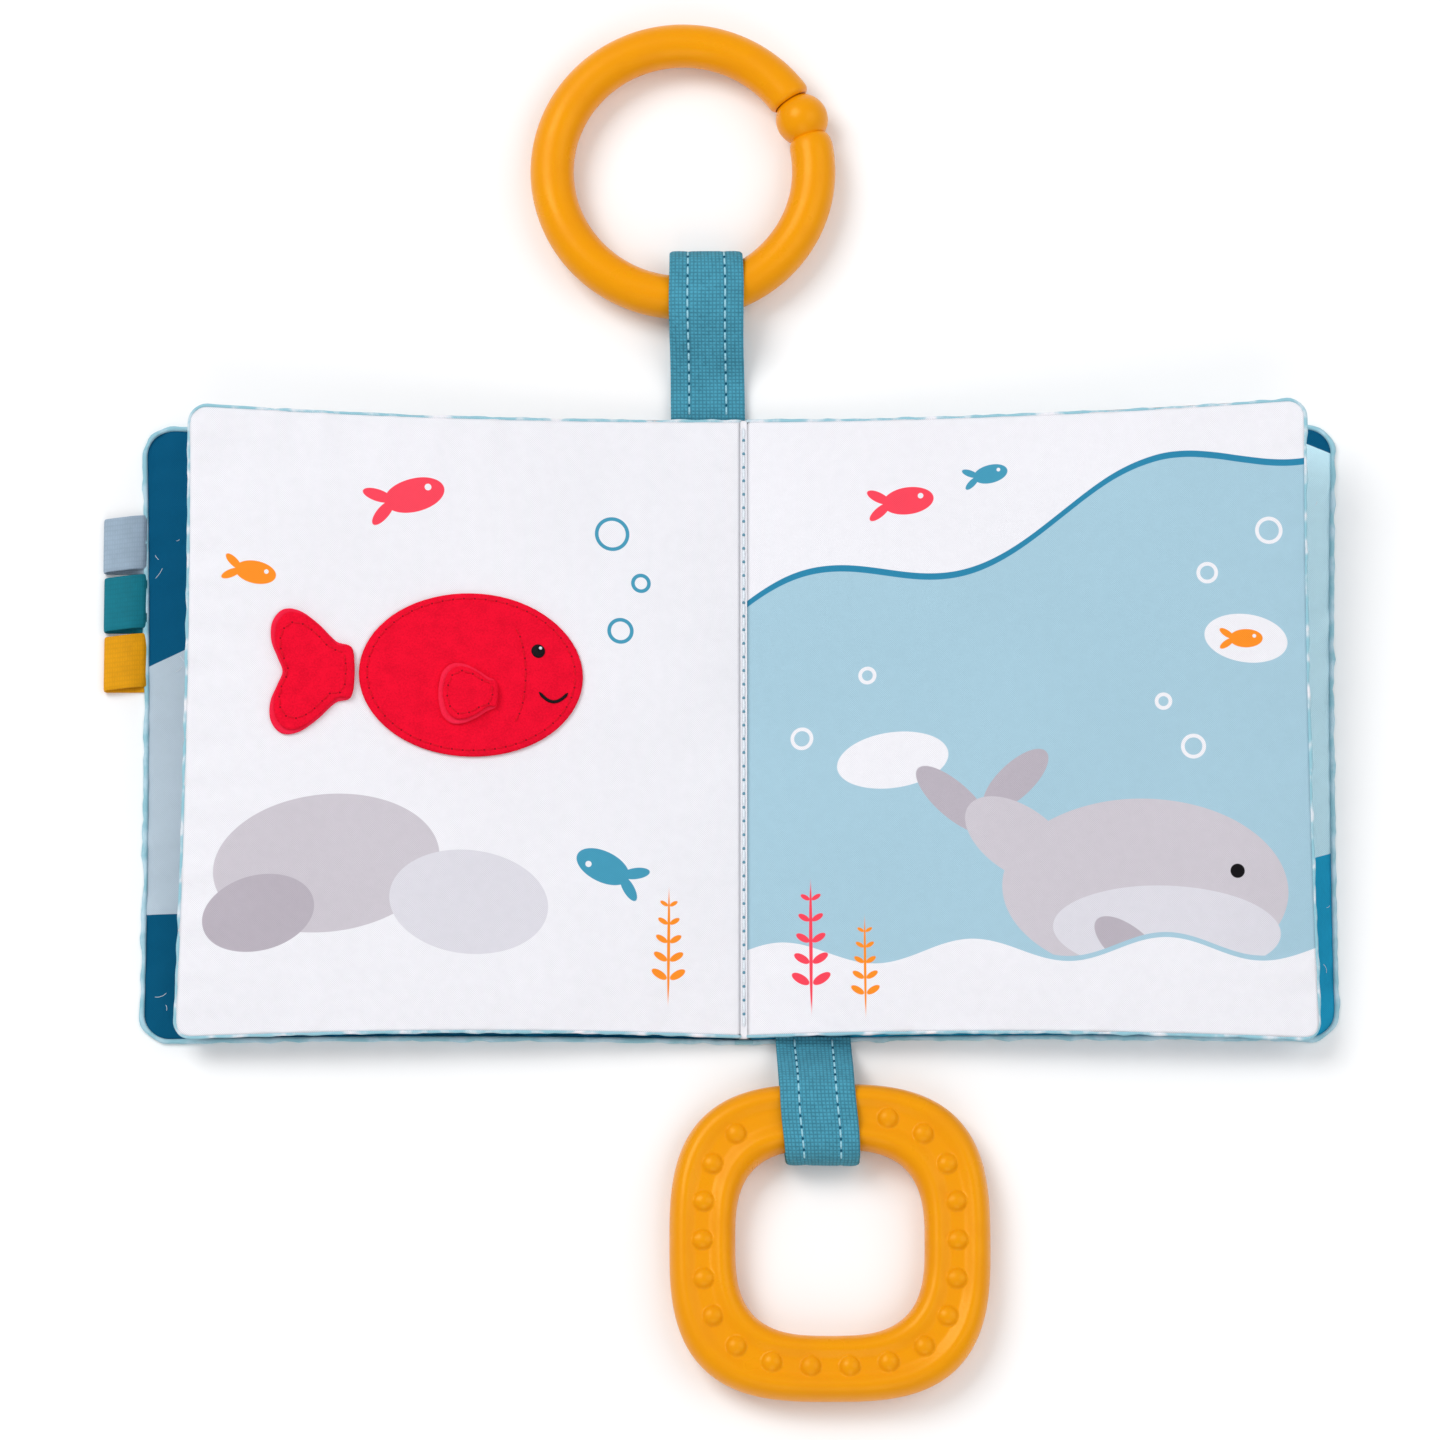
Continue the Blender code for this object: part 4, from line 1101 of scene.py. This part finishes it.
def build_spine(materials):
    """The two sheets' stretches over the spine, with the row of stitches that joins them."""
    middle = HINGE.z - PAGE_DROP
    inner = band_rows(PAGE_BAND_HALF, PAGE_BAND_FOOT, middle, BAND_THICK)
    inner = solid("inner_spine_band", [inner], materials["right_page_under"])
    outer = band_rows(BAND_HALF, 0, COVER_BAND_Z, COVER_BAND_THICK)
    outer = solid("outer_spine_band", [outer], materials["back_cover_under"])
    top = middle + BAND_THICK / 2 + THREAD_RADIUS * 0.5
    reach = PAGE_HEIGHT / 2 - RIM_INSET - STITCH_PITCH / 2
    path = [(0, y, top) for y in np.linspace(reach, -reach, STITCH_POINTS)]
    thread = sew(
        "spine_stitches", [path], STITCH_PITCH, SPINE_DASH, THREAD_RADIUS, materials["spine_sewing"], THREAD_SINK
    )
    foot, head = CORNER_SHIFTS["front_cover"][:2]
    ends = []
    for up, (_, shift) in ((1, head), (-1, foot)):
        y = up * (COVER_HEIGHT / 2 - RIM_INSET) + shift
        reach = np.linspace(-SPINE_TRIM_HALF, SPINE_TRIM_HALF, 9)
        path = [(x, y, COVER_BAND_Z + COVER_TRIM_RADIUS * 0.6) for x in reach]
        ends.append(tube_rows(path, COVER_TRIM_RADIUS, TRIM_SIDES))
    ends = solid("spine_rolled_ends", ends, materials["cover_trim"])
    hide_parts("spine_core")
    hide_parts("spine_stitching")
    for piece, slot in ((inner, "white_cloth"), (outer, "navy_cloth"), (thread, "thread"), (ends, "teal_edge")):
        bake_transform(piece)


# Felt fish


def smooth_outline(points):
    """A closed smooth curve through points."""
    before, after, beyond = (np.roll(points, shift, 0) for shift in (1, -1, -2))
    found = []
    for p0, p1, p2, p3 in zip(before, points, after, beyond):
        for t in np.arange(OUTLINE_STEPS) / OUTLINE_STEPS:
            bend = 2 * p1 + (p2 - p0) * t + (2 * p0 - 5 * p1 + 4 * p2 - p3) * t * t
            found.append((bend + (3 * p1 - p0 - 3 * p2 + p3) * t**3) / 2)
    return np.array(found)


def fin_outline(root, length, height, shape, margin=0.0):
    """A fin from its root away from the spine; its shape's shares go from the root's top to the end's middle."""
    half = [(root[0] - share * (length - margin), height / 2 * wide - margin * (share > 0)) for share, wide in shape]
    lower = [(x, -y) for x, y in reversed(half) if y > 0]
    points = np.array(half + lower)
    points[:, 1] += root[1]
    return smooth_outline(points)


def felt_piece(name, outline, thick, crown, leaf, trees, material):
    """A felt shape that lies on some surfaces; returns it with its own surface."""
    centre = outline.mean(axis=0)
    rows = []
    for share, level in FELT_PROFILE:
        ring = centre + (outline - centre) * share
        upper = level > 0.5
        fuzz = grain(np.column_stack([ring, np.full(len(ring), FELT_GAP)]), FUZZ_SCALE) * FELT_FUZZ * upper
        swell = crown * (1 - share**2) * upper
        under = np.array([top_of(trees, x, y) for x, y in ring])
        rows.append(np.column_stack([ring, under + FELT_GAP + thick * level + swell + fuzz]))
    rows = np.array(rows)
    pile = Pile()
    pile.add(leaf.world(rows), flat=rows[..., :2])
    tree = BVHTree.FromPolygons([tuple(p) for p in rows.reshape(-1, 3)], pile.faces)
    return pile.build(name, material), tree


def sew_felt(name, body, lines, leaf, tree, materials):
    """Stitches along lines on a felt surface."""
    paths = [leaf.world([(x, y, top_of([tree], x, y) + FELT_SINK) for x, y in line]) for line in lines]
    seam = sew(name, paths, FELT_STITCH, FELT_DASH, FELT_THREAD, materials["felt_sewing"], FELT_THREAD_SINK)
    dress(seam, "red_felt", body)


def inside(outline, centre, share):
    """A smaller copy of an outline, closed."""
    inset = centre + (outline - centre) * share
    return np.vstack([inset, inset[:1]])


def build_fish(leaf, materials):
    """The felt fish: a padded body with eye, mouth and stitched rim, and two flaps of two layers."""
    (x, y), red = FISH_CENTRE, materials["red_felt"]
    turn = np.linspace(0, 2 * np.pi, 72, endpoint=False)
    outline = np.column_stack([x + FISH_LENGTH / 2 * np.cos(turn), y + FISH_HEIGHT / 2 * np.sin(turn)])
    body, body_tree = felt_piece("fish_felt_body", outline, FELT_THICK, FISH_CROWN, leaf, [leaf.tree], red)
    dress(body, "red_felt", "left_page", "fish_body")
    gill = [
        (x + GILL_OUT + GILL_RADII[0] * math.cos(a), y + GILL_RADII[1] * math.sin(a))
        for a in np.linspace(-GILL_TURN, GILL_TURN, 18)
    ]
    lines = (inside(outline, FISH_CENTRE, STITCH_RIM_SHARE), gill)
    sew_felt("fish_felt_stitches", "left_page", lines, leaf, body_tree, materials)
    build_face(leaf, body_tree, materials)
    for (name, shape), base in zip(FLAPS.items(), (body_tree, leaf.tree)):
        lower, upper = fin_outline(*shape), fin_outline(*shape, FLAP_MARGIN)
        light = materials["light_red_felt"]
        under, tree = felt_piece(name + "_lower_layer", lower, FLAP_THICK, 0, leaf, [base], light)
        over, tree = felt_piece(name + "_upper_layer", upper, FLAP_THICK, FLAP_CROWN, leaf, [tree, base], red)
        dress(under, "light_red_felt", name, name + "_under_felt")
        dress(over, "red_felt", name, name + "_upper_felt")
        rim = inside(upper, upper.mean(axis=0), FLAP_RIM_SHARE)
        sew_felt(name + "_stitches", name, [rim], leaf, tree, materials)


def build_face(leaf, tree, materials):
    """An embroidered eye with a glint, and a stitched smile."""
    turn = np.linspace(0, 2 * np.pi, 28, endpoint=False)
    for name, (x, y), radius, lift, slot, nodes in EYES:
        base = top_of([tree], x, y)
        rows = []
        for share in EYE_SHARES:
            height = base + (lift + EYE_RISE * math.sqrt(max(0, 1 - share**2)) - FELT_SINK)
            size = radius * share
            rows.append([(x + size * math.cos(a), y + size * math.sin(a), height) for a in turn])
        dress(solid(name, [leaf.world(rows)], materials[slot]), slot, "left_page", *nodes)
    smile = []
    for share in np.linspace(-1, 1, MOUTH_POINTS):
        x = MOUTH_CENTRE[0] + share * MOUTH_WIDTH / 2
        y = MOUTH_CENTRE[1] - MOUTH_DEPTH * (1 - share**2)
        smile.append((x, y, top_of([tree], x, y)))
    ends = np.minimum(np.linspace(0, 1, MOUTH_POINTS), np.linspace(1, 0, MOUTH_POINTS))
    radius = MOUTH_THREAD * np.sqrt(np.clip(ends / MOUTH_TAPER, 0.05, 1))
    mouth = solid("fish_stitched_smile", [tube_rows(leaf.world(smile), radius, 10)], materials["black_thread"])
    dress(mouth, "black_thread", "left_page", "fish_mouth_stitching")


# Ribbons: tags and straps


def ribbon_rows(path, across, width, thick, hem=0.0):
    """Closed sections of a ribbon along a path; hem is how much thicker its sewn edges are."""
    out = unit(np.cross(np.gradient(path, axis=0), across))
    away = np.abs(RIBBON_SHARES)
    puff = thick / 2 * np.sqrt(np.clip(1 - away**RIBBON_EDGE_POWER, 0.02, 1))
    puff = puff + hem * np.exp(-(((away - HEM_PLACE) / HEM_REACH) ** 2))
    puff -= thick * GROOVE_SHARE * np.exp(-(((away - GROOVE_PLACE) / GROOVE_REACH) ** 2)) * (hem > 0)
    upper = [(share * width / 2, rise) for share, rise in zip(RIBBON_SHARES, puff)]
    section = np.array(upper + [(a, -b) for a, b in reversed(upper)])
    return path[:, None] + section[None, :, :1] * across + section[None, :, 1:] * out[:, None]


def tag_profile(root, end):
    """Places along a tag's middle line and their heights: out, round the fold and back."""
    inner = end + TAG_FOLD

    def side(sign, steps):
        rises = (sign * TAG_FOLD * min(1, TAG_NECK_SHARE + 2 * t) for t in steps)
        return [(root + (inner - root) * t, TAG_MIDDLE + rise) for t, rise in zip(steps, rises)]

    turn = np.linspace(FOLD_TURN, math.pi - FOLD_TURN, 8)
    return [
        (root, TAG_MIDDLE + TAG_ROOT_HALF),
        *side(1, np.linspace(0.15, 1, 8)),
        *((inner - TAG_FOLD * math.sin(a), TAG_MIDDLE + TAG_FOLD * math.cos(a)) for a in turn),
        *side(-1, np.linspace(1, 0.15, 8)),
        (root, TAG_MIDDLE - TAG_ROOT_HALF),
    ]


def build_tags(materials):
    """Three folded ribbons in the front cover's outer seam, each a little open at its lower side."""
    for body, (name, slot, _) in TAGS.items():
        x, y, _ = pivot("child", body)
        root, end = x + TAG_ROOT, x - TAG_LENGTH
        points = np.array([(along, y + TAG_RISE, z) for along, z in tag_profile(root, end)])
        rows = ribbon_rows(points, (0, 1, 0), TAG_WIDTH, TAG_THICK)
        share = (rows[..., 1] - y - TAG_RISE) / (TAG_WIDTH / 2)
        rows[..., 2] = TAG_MIDDLE + (rows[..., 2] - TAG_MIDDLE) * (1 - TAG_OPEN_SHARE * share)
        out = np.clip((root - rows[..., 0]) / (root - end), 0, 1)
        lower = np.arange(len(points))[:, None] > len(points) / 2
        rows[..., 1] -= TAG_SLANT * np.where(lower, 1, out)
        rows[..., 2] -= TAG_SEAM_DROP * np.clip(1 - 3 * out, 0, 1)
        rows[..., 2] = np.maximum(rows[..., 2], COVER_FLOOR)
        tag = solid(name + "_folded", [rows], materials[name])
        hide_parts(name)
        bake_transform(tag)


def strap_profile(start, neck, rise, near, far, top):
    """Outward distance and height of a strap's middle line: over the arm, round it and back under it."""
    low = STRAP_FLOOR + STRAP_THICK / 2
    high = top + STRAP_THICK / 2 + FELT_GAP
    radius = (high - low) / 2
    end = far - radius
    upper, lower = STRAP_UPPER_Z, STRAP_LOWER_Z
    climb = np.linspace(0.06, 1, 16)
    turn = np.linspace(0.2, math.pi - 0.2, 14)
    return np.array([
        *((s, upper) for s in np.linspace(start, rise, 6)),
        *((rise + (near - rise) * t, upper + (high - upper) * t * t * (3 - 2 * t)) for t in climb),
        *((near + (end - near) * t, high) for t in np.linspace(0.15, 1, 7)),
        *((end + radius * math.sin(a), low + radius * (1 + math.cos(a))) for a in turn),
        *((near + (end - near) * t, low) for t in np.linspace(1, 0, 8)),
        *((neck + (near - neck) * t, low + (lower - low) * (1 - t) ** 2) for t in np.linspace(0.9, 0, 6)),
        *((s, lower) for s in np.linspace(neck, start, 10)[1:]),
    ])


def build_strap(name, joint, holder, held, direction, rise, near, far, top, shift, slant, wrinkle, materials):
    """A strap with its two rows of stitches."""
    x, neck_y, _ = pivot("name", joint)
    neck = abs(neck_y)
    start = COVER_HEIGHT / 2 - STRAP_TUCK
    profile = strap_profile(start, neck, rise, near, far, top)
    points = np.column_stack([np.full(len(profile), x + shift), direction * profile[:, 0], profile[:, 1]])
    rows = ribbon_rows(points, (1, 0, 0), STRAP_WIDTH, STRAP_THICK, STRAP_HEM)
    left = np.clip(1 - (far + STRAP_THICK / 2 - profile[:, 0]) / STRAP_CORNER, 0, 1)
    narrow = 1 - STRAP_CORNER * (1 - np.sqrt(1 - left**2)) / (STRAP_WIDTH / 2)
    rows[..., 0] = x + shift + (rows[..., 0] - x - shift) * narrow[:, None]

    def warp(grid):
        away = (np.abs(grid[..., 1]) - start) / (far - start)
        grid[..., 0] += slant * (away - STRAP_PIVOT_SHARE)
        wave = np.sin(away * STRAP_WAVES + np.sign(grid[..., 0] - x) * STRAP_WAVE_SHIFT)
        grid[..., 0] += STRAP_WAVE * wave * away
        lift = wrinkle * grain(grid.reshape(-1, 3), WRINKLE_SCALE).reshape(away.shape)
        grid[..., 2] += np.where(grid[..., 2] > STRAP_UNDER_TOP, lift, np.minimum(lift, 0))
        grid[..., 2] = np.maximum(grid[..., 2], COVER_FLOOR)
        return grid

    ribbon = solid(name + "_ribbon", [warp(rows)], materials["strap"])
    out = unit(np.cross(np.gradient(points, axis=0), (1, 0, 0)))[STRAP_SEWN]
    lift = (STRAP_THICK / 2 + STRAP_THREAD * 0.35) * -direction
    paths = [warp(points[STRAP_SEWN] + out * lift + (row, 0, 0)) for row in (-STRAP_ROW, STRAP_ROW)]
    sewing = materials["strap_sewing"]
    stitches = sew(name + "_stitches", paths, STRAP_PITCH, STRAP_DASH, STRAP_THREAD, sewing, THREAD_SINK)
    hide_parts(name, name + "_loop")
    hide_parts(name + "_stitching")
    near, far = direction * (neck - NECK_BEND), direction * (neck + NECK_BEND)
    for piece, slot in ((ribbon, "teal_ribbon"), (stitches, "thread")):
        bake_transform(piece)


# Click ring and teether


def ball_rows(centre, radius, along, first):
    """A ball as rings round a direction, from an angle on."""
    along = unit(along)
    side = unit(np.cross(UP, along))
    rise = np.cross(along, side)
    turn = np.linspace(0, 2 * np.pi, RING_SIDES, endpoint=False)
    ring = np.cos(turn)[:, None] * side + np.sin(turn)[:, None] * rise
    steps = np.linspace(first + BALL_POLE, math.pi - BALL_POLE, 24)
    return [centre + radius * (math.sin(a) * ring + math.cos(a) * along) for a in steps]


def build_ring(materials):
    """A split ring with a ball on its lower arm and the ball's seat in its upper arm."""
    centre = np.array(pivot("child", "click_ring"))
    length = RING_RADIUS * (2 * math.pi + RING_TIP - RING_SEAT)
    turn = np.linspace(0, math.pi / 2, 9)
    travelled = np.concatenate([
        RING_SHOULDER * (1 - np.cos(turn[:-1])),
        np.linspace(RING_SHOULDER, length - RING_DOME, RING_STEPS),
        length - RING_DOME + RING_DOME * np.sin(turn[1:]),
        length + RING_TIP_ROUND * np.sin(turn[1:]),
    ])
    radius = RING_TUBE / 2 - np.concatenate([
        RING_SHOULDER * (1 - np.sin(turn[:-1])),
        np.zeros(RING_STEPS),
        RING_DOME_FALL * (1 - np.cos(turn[1:])),
        RING_DOME_FALL + RING_TIP_FALL * (1 - np.cos(turn[1:])),
    ])
    angle = RING_SEAT + travelled / RING_RADIUS
    path = np.column_stack([RING_RADIUS * np.cos(angle), RING_RADIUS * np.sin(angle), np.zeros(len(angle))])
    ring = solid("split_click_ring", [tube_rows(path + centre, radius, RING_SIDES)], materials["plastic"])
    place = centre + RING_RADIUS * np.array([math.cos(BALL_ANGLE), math.sin(BALL_ANGLE), 0])
    along = np.array([-math.sin(BALL_ANGLE), math.cos(BALL_ANGLE), 0])
    for name, operation, rows in (
        ("seat", "DIFFERENCE", ball_rows(place, BALL_RADIUS + SEAT_GAP, -along, math.pi / 2)),
        ("ball", "UNION", ball_rows(place, BALL_RADIUS, along, 0)),
    ):
        cutter = solid(name, [rows], materials["plastic"])
        cut = ring.modifiers.new(name, "BOOLEAN")
        cut.object, cut.operation, cut.solver = cutter, operation, "EXACT"
        graph = bpy.context.evaluated_depsgraph_get()
        mesh = bpy.data.meshes.new_from_object(ring.evaluated_get(graph))
        ring.modifiers.clear()
        ring.data = mesh
        bpy.data.objects.remove(cutter)
    ring.data.shade_smooth()
    ring.data.set_sharp_from_angle(angle=RING_SHARP)
    dress(ring, "mustard_plastic", "click_ring", "click_ring")


def track_height(across):
    """Height of the teether's section at a share of its half width: round rims, a shallow track."""
    away = np.abs(across)
    rim = np.sqrt(np.clip(1 - ((away - RIM_START) / (1 - RIM_START)) ** 2, 0, 1))
    fall = np.clip((RIM_START - away) / TRACK_FALL_SHARE, 0, 1)
    track = 1 - TRACK_DEPTH_SHARE * fall * fall * (3 - 2 * fall)
    return np.where(away > RIM_START, rim, track)


def squircle(half, power):
    """Points round a square with bowed sides and round corners, anticlockwise."""
    angle = np.linspace(0, 2 * math.pi, TEETHER_STEPS, endpoint=False)
    around = np.column_stack([np.cos(angle), np.sin(angle)])
    return half * around / (np.abs(around) ** power).sum(axis=1, keepdims=True) ** (1 / power)


def build_teether(materials):
    """A rounded square ring with a shallow track and nubs on both faces."""
    low, high = (np.array(corner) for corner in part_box("teether"))
    centre = (low + high) / 2
    outer = squircle(TEETHER_SIZE / 2, TEETHER_POWER)
    inner = squircle(TEETHER_SIZE / 2 - TEETHER_ARM, TEETHER_HOLE_POWER)
    path, outward = (outer + inner) / 2, (outer - inner) / 2
    rim = np.cos(np.linspace(math.pi, math.pi / 2, 12, endpoint=False)) * (1 - RIM_START) - RIM_START
    across = np.concatenate([rim, np.linspace(-RIM_START, RIM_START, 29), -rim[::-1]])
    section = np.column_stack([across, track_height(across)])
    section = np.concatenate([section, section[-2:0:-1] * (1, -1)])
    rows = np.zeros((len(path), len(section), 3))
    rows[..., :2] = path[:, None] + section[None, :, :1] * outward[:, None]
    rows[..., 2] = section[None, :, 1] * TEETHER_THICK / 2
    loop = np.vstack([path, path[:1]])
    nubs = along_path(np.column_stack([loop, np.zeros(len(loop))]), NUB_PITCH)[:-1, :2]
    strap_x = pivot("name", "bottom_loop_bend")[0] - centre[0]
    for nub in nubs:
        if nub[1] > 0 and abs(nub[0] - strap_x) < STRAP_WIDTH / 2 + NUB_KEEP_CLEAR:
            continue
        away = np.linalg.norm(rows[..., :2] - nub, axis=-1) / NUB_RADIUS
        dome = NUB_RISE * np.sqrt(np.clip(1 - away**NUB_POWER, 0, 1))
        rows[..., 2] += np.sign(rows[..., 2]) * dome
    teether = solid("nubbed_teether", [rows + centre], materials["plastic"], ring=True)
    dress(teether, "mustard_plastic", "teether", "teether")


def build_lint(leaves, materials):
    """Loose ends of thread that lie on the covers' margins."""
    run = np.linspace(-0.5, 0.5, 9)
    for name, places in LINT.items():
        leaf = leaves[name]
        threads = []
        for x, y, turn, length, curl in places:
            angle = turn + curl * run
            spots = np.column_stack([x + length * run * np.cos(angle), y + length * run * np.sin(angle)])
            path = [(*spot, top_of([leaf.tree], *spot) + LINT_RADIUS * 0.6) for spot in spots]
            threads.append(tube_rows(leaf.world(path), LINT_RADIUS, 5))
        dress(solid(name + "_loose_threads", threads, materials["thread"]), "thread", name)


def build_materials():
    front, back = paint_cover(FRONT_LINES, DEEP_TEAL, GREY_BLUE), paint_cover(BACK_LINES, SEA, SKY)
    found = {
        "left_page": cloth_material("printed_left_page", paint_left_page),
        "right_page": cloth_material("printed_right_page", paint_right_page),
        "front_cover": cloth_material("front_cover_lining", front),
        "back_cover": cloth_material("back_cover_lining", back),
        "left_page_under": cloth_material("left_page_back", paint_plain(WHITE)),
        "right_page_under": cloth_material("right_page_back", paint_plain(WHITE)),
        "front_cover_under": cloth_material("front_cover_outside", paint_plain(NAVY)),
        "back_cover_under": cloth_material("back_cover_outside", paint_plain(NAVY)),
        "page_trim": trim_material("page_rolled_edge", (WHITE, TRIM_TEAL), TRIM_HEAD_TEAL, TRIM_FOOT_TEAL),
        "cover_trim": trim_material("cover_rolled_edge", (TRIM_TEAL, TRIM_SKY)),
        "red_felt": felt_material("red_felt", RED, RED_DARK),
        "light_red_felt": felt_material("light_red_felt", RED_LIGHT, RED),
        "black_thread": thread_material("black_thread", BLACK),
        "thread": thread_material("white_thread", THREAD_WHITE),
        "strap": ribbon_material("woven_strap", STRAP_TEAL, *STRAP_WEAVE),
        "plastic": plastic_material(),
    }
    # The second colour of each kind of sewing is painted shade in its needle holes
    for name, (thread, hole_shade) in SEWING.items():
        found[name] = (thread_material(name + "_thread", thread), thread_material(name + "_hole", hole_shade))
    for name, _, colour in TAGS.values():
        found[name] = ribbon_material(name + "_weave", colour, *TAG_WEAVE)
    return found


def build_book():
    materials = build_materials()
    leaves = build_leaves(materials)
    build_spine(materials)
    build_fish(leaves["left_page"], materials)
    build_tags(materials)
    build_ring(materials)
    build_teether(materials)
    build_strap("top_strap", *TOP_STRAP, *TOP_STRAP_PLACE, materials)
    build_strap("bottom_strap", *BOTTOM_STRAP, *BOTTOM_STRAP_PLACE, materials)
    build_lint(leaves, materials)


build_stage()
build_book()
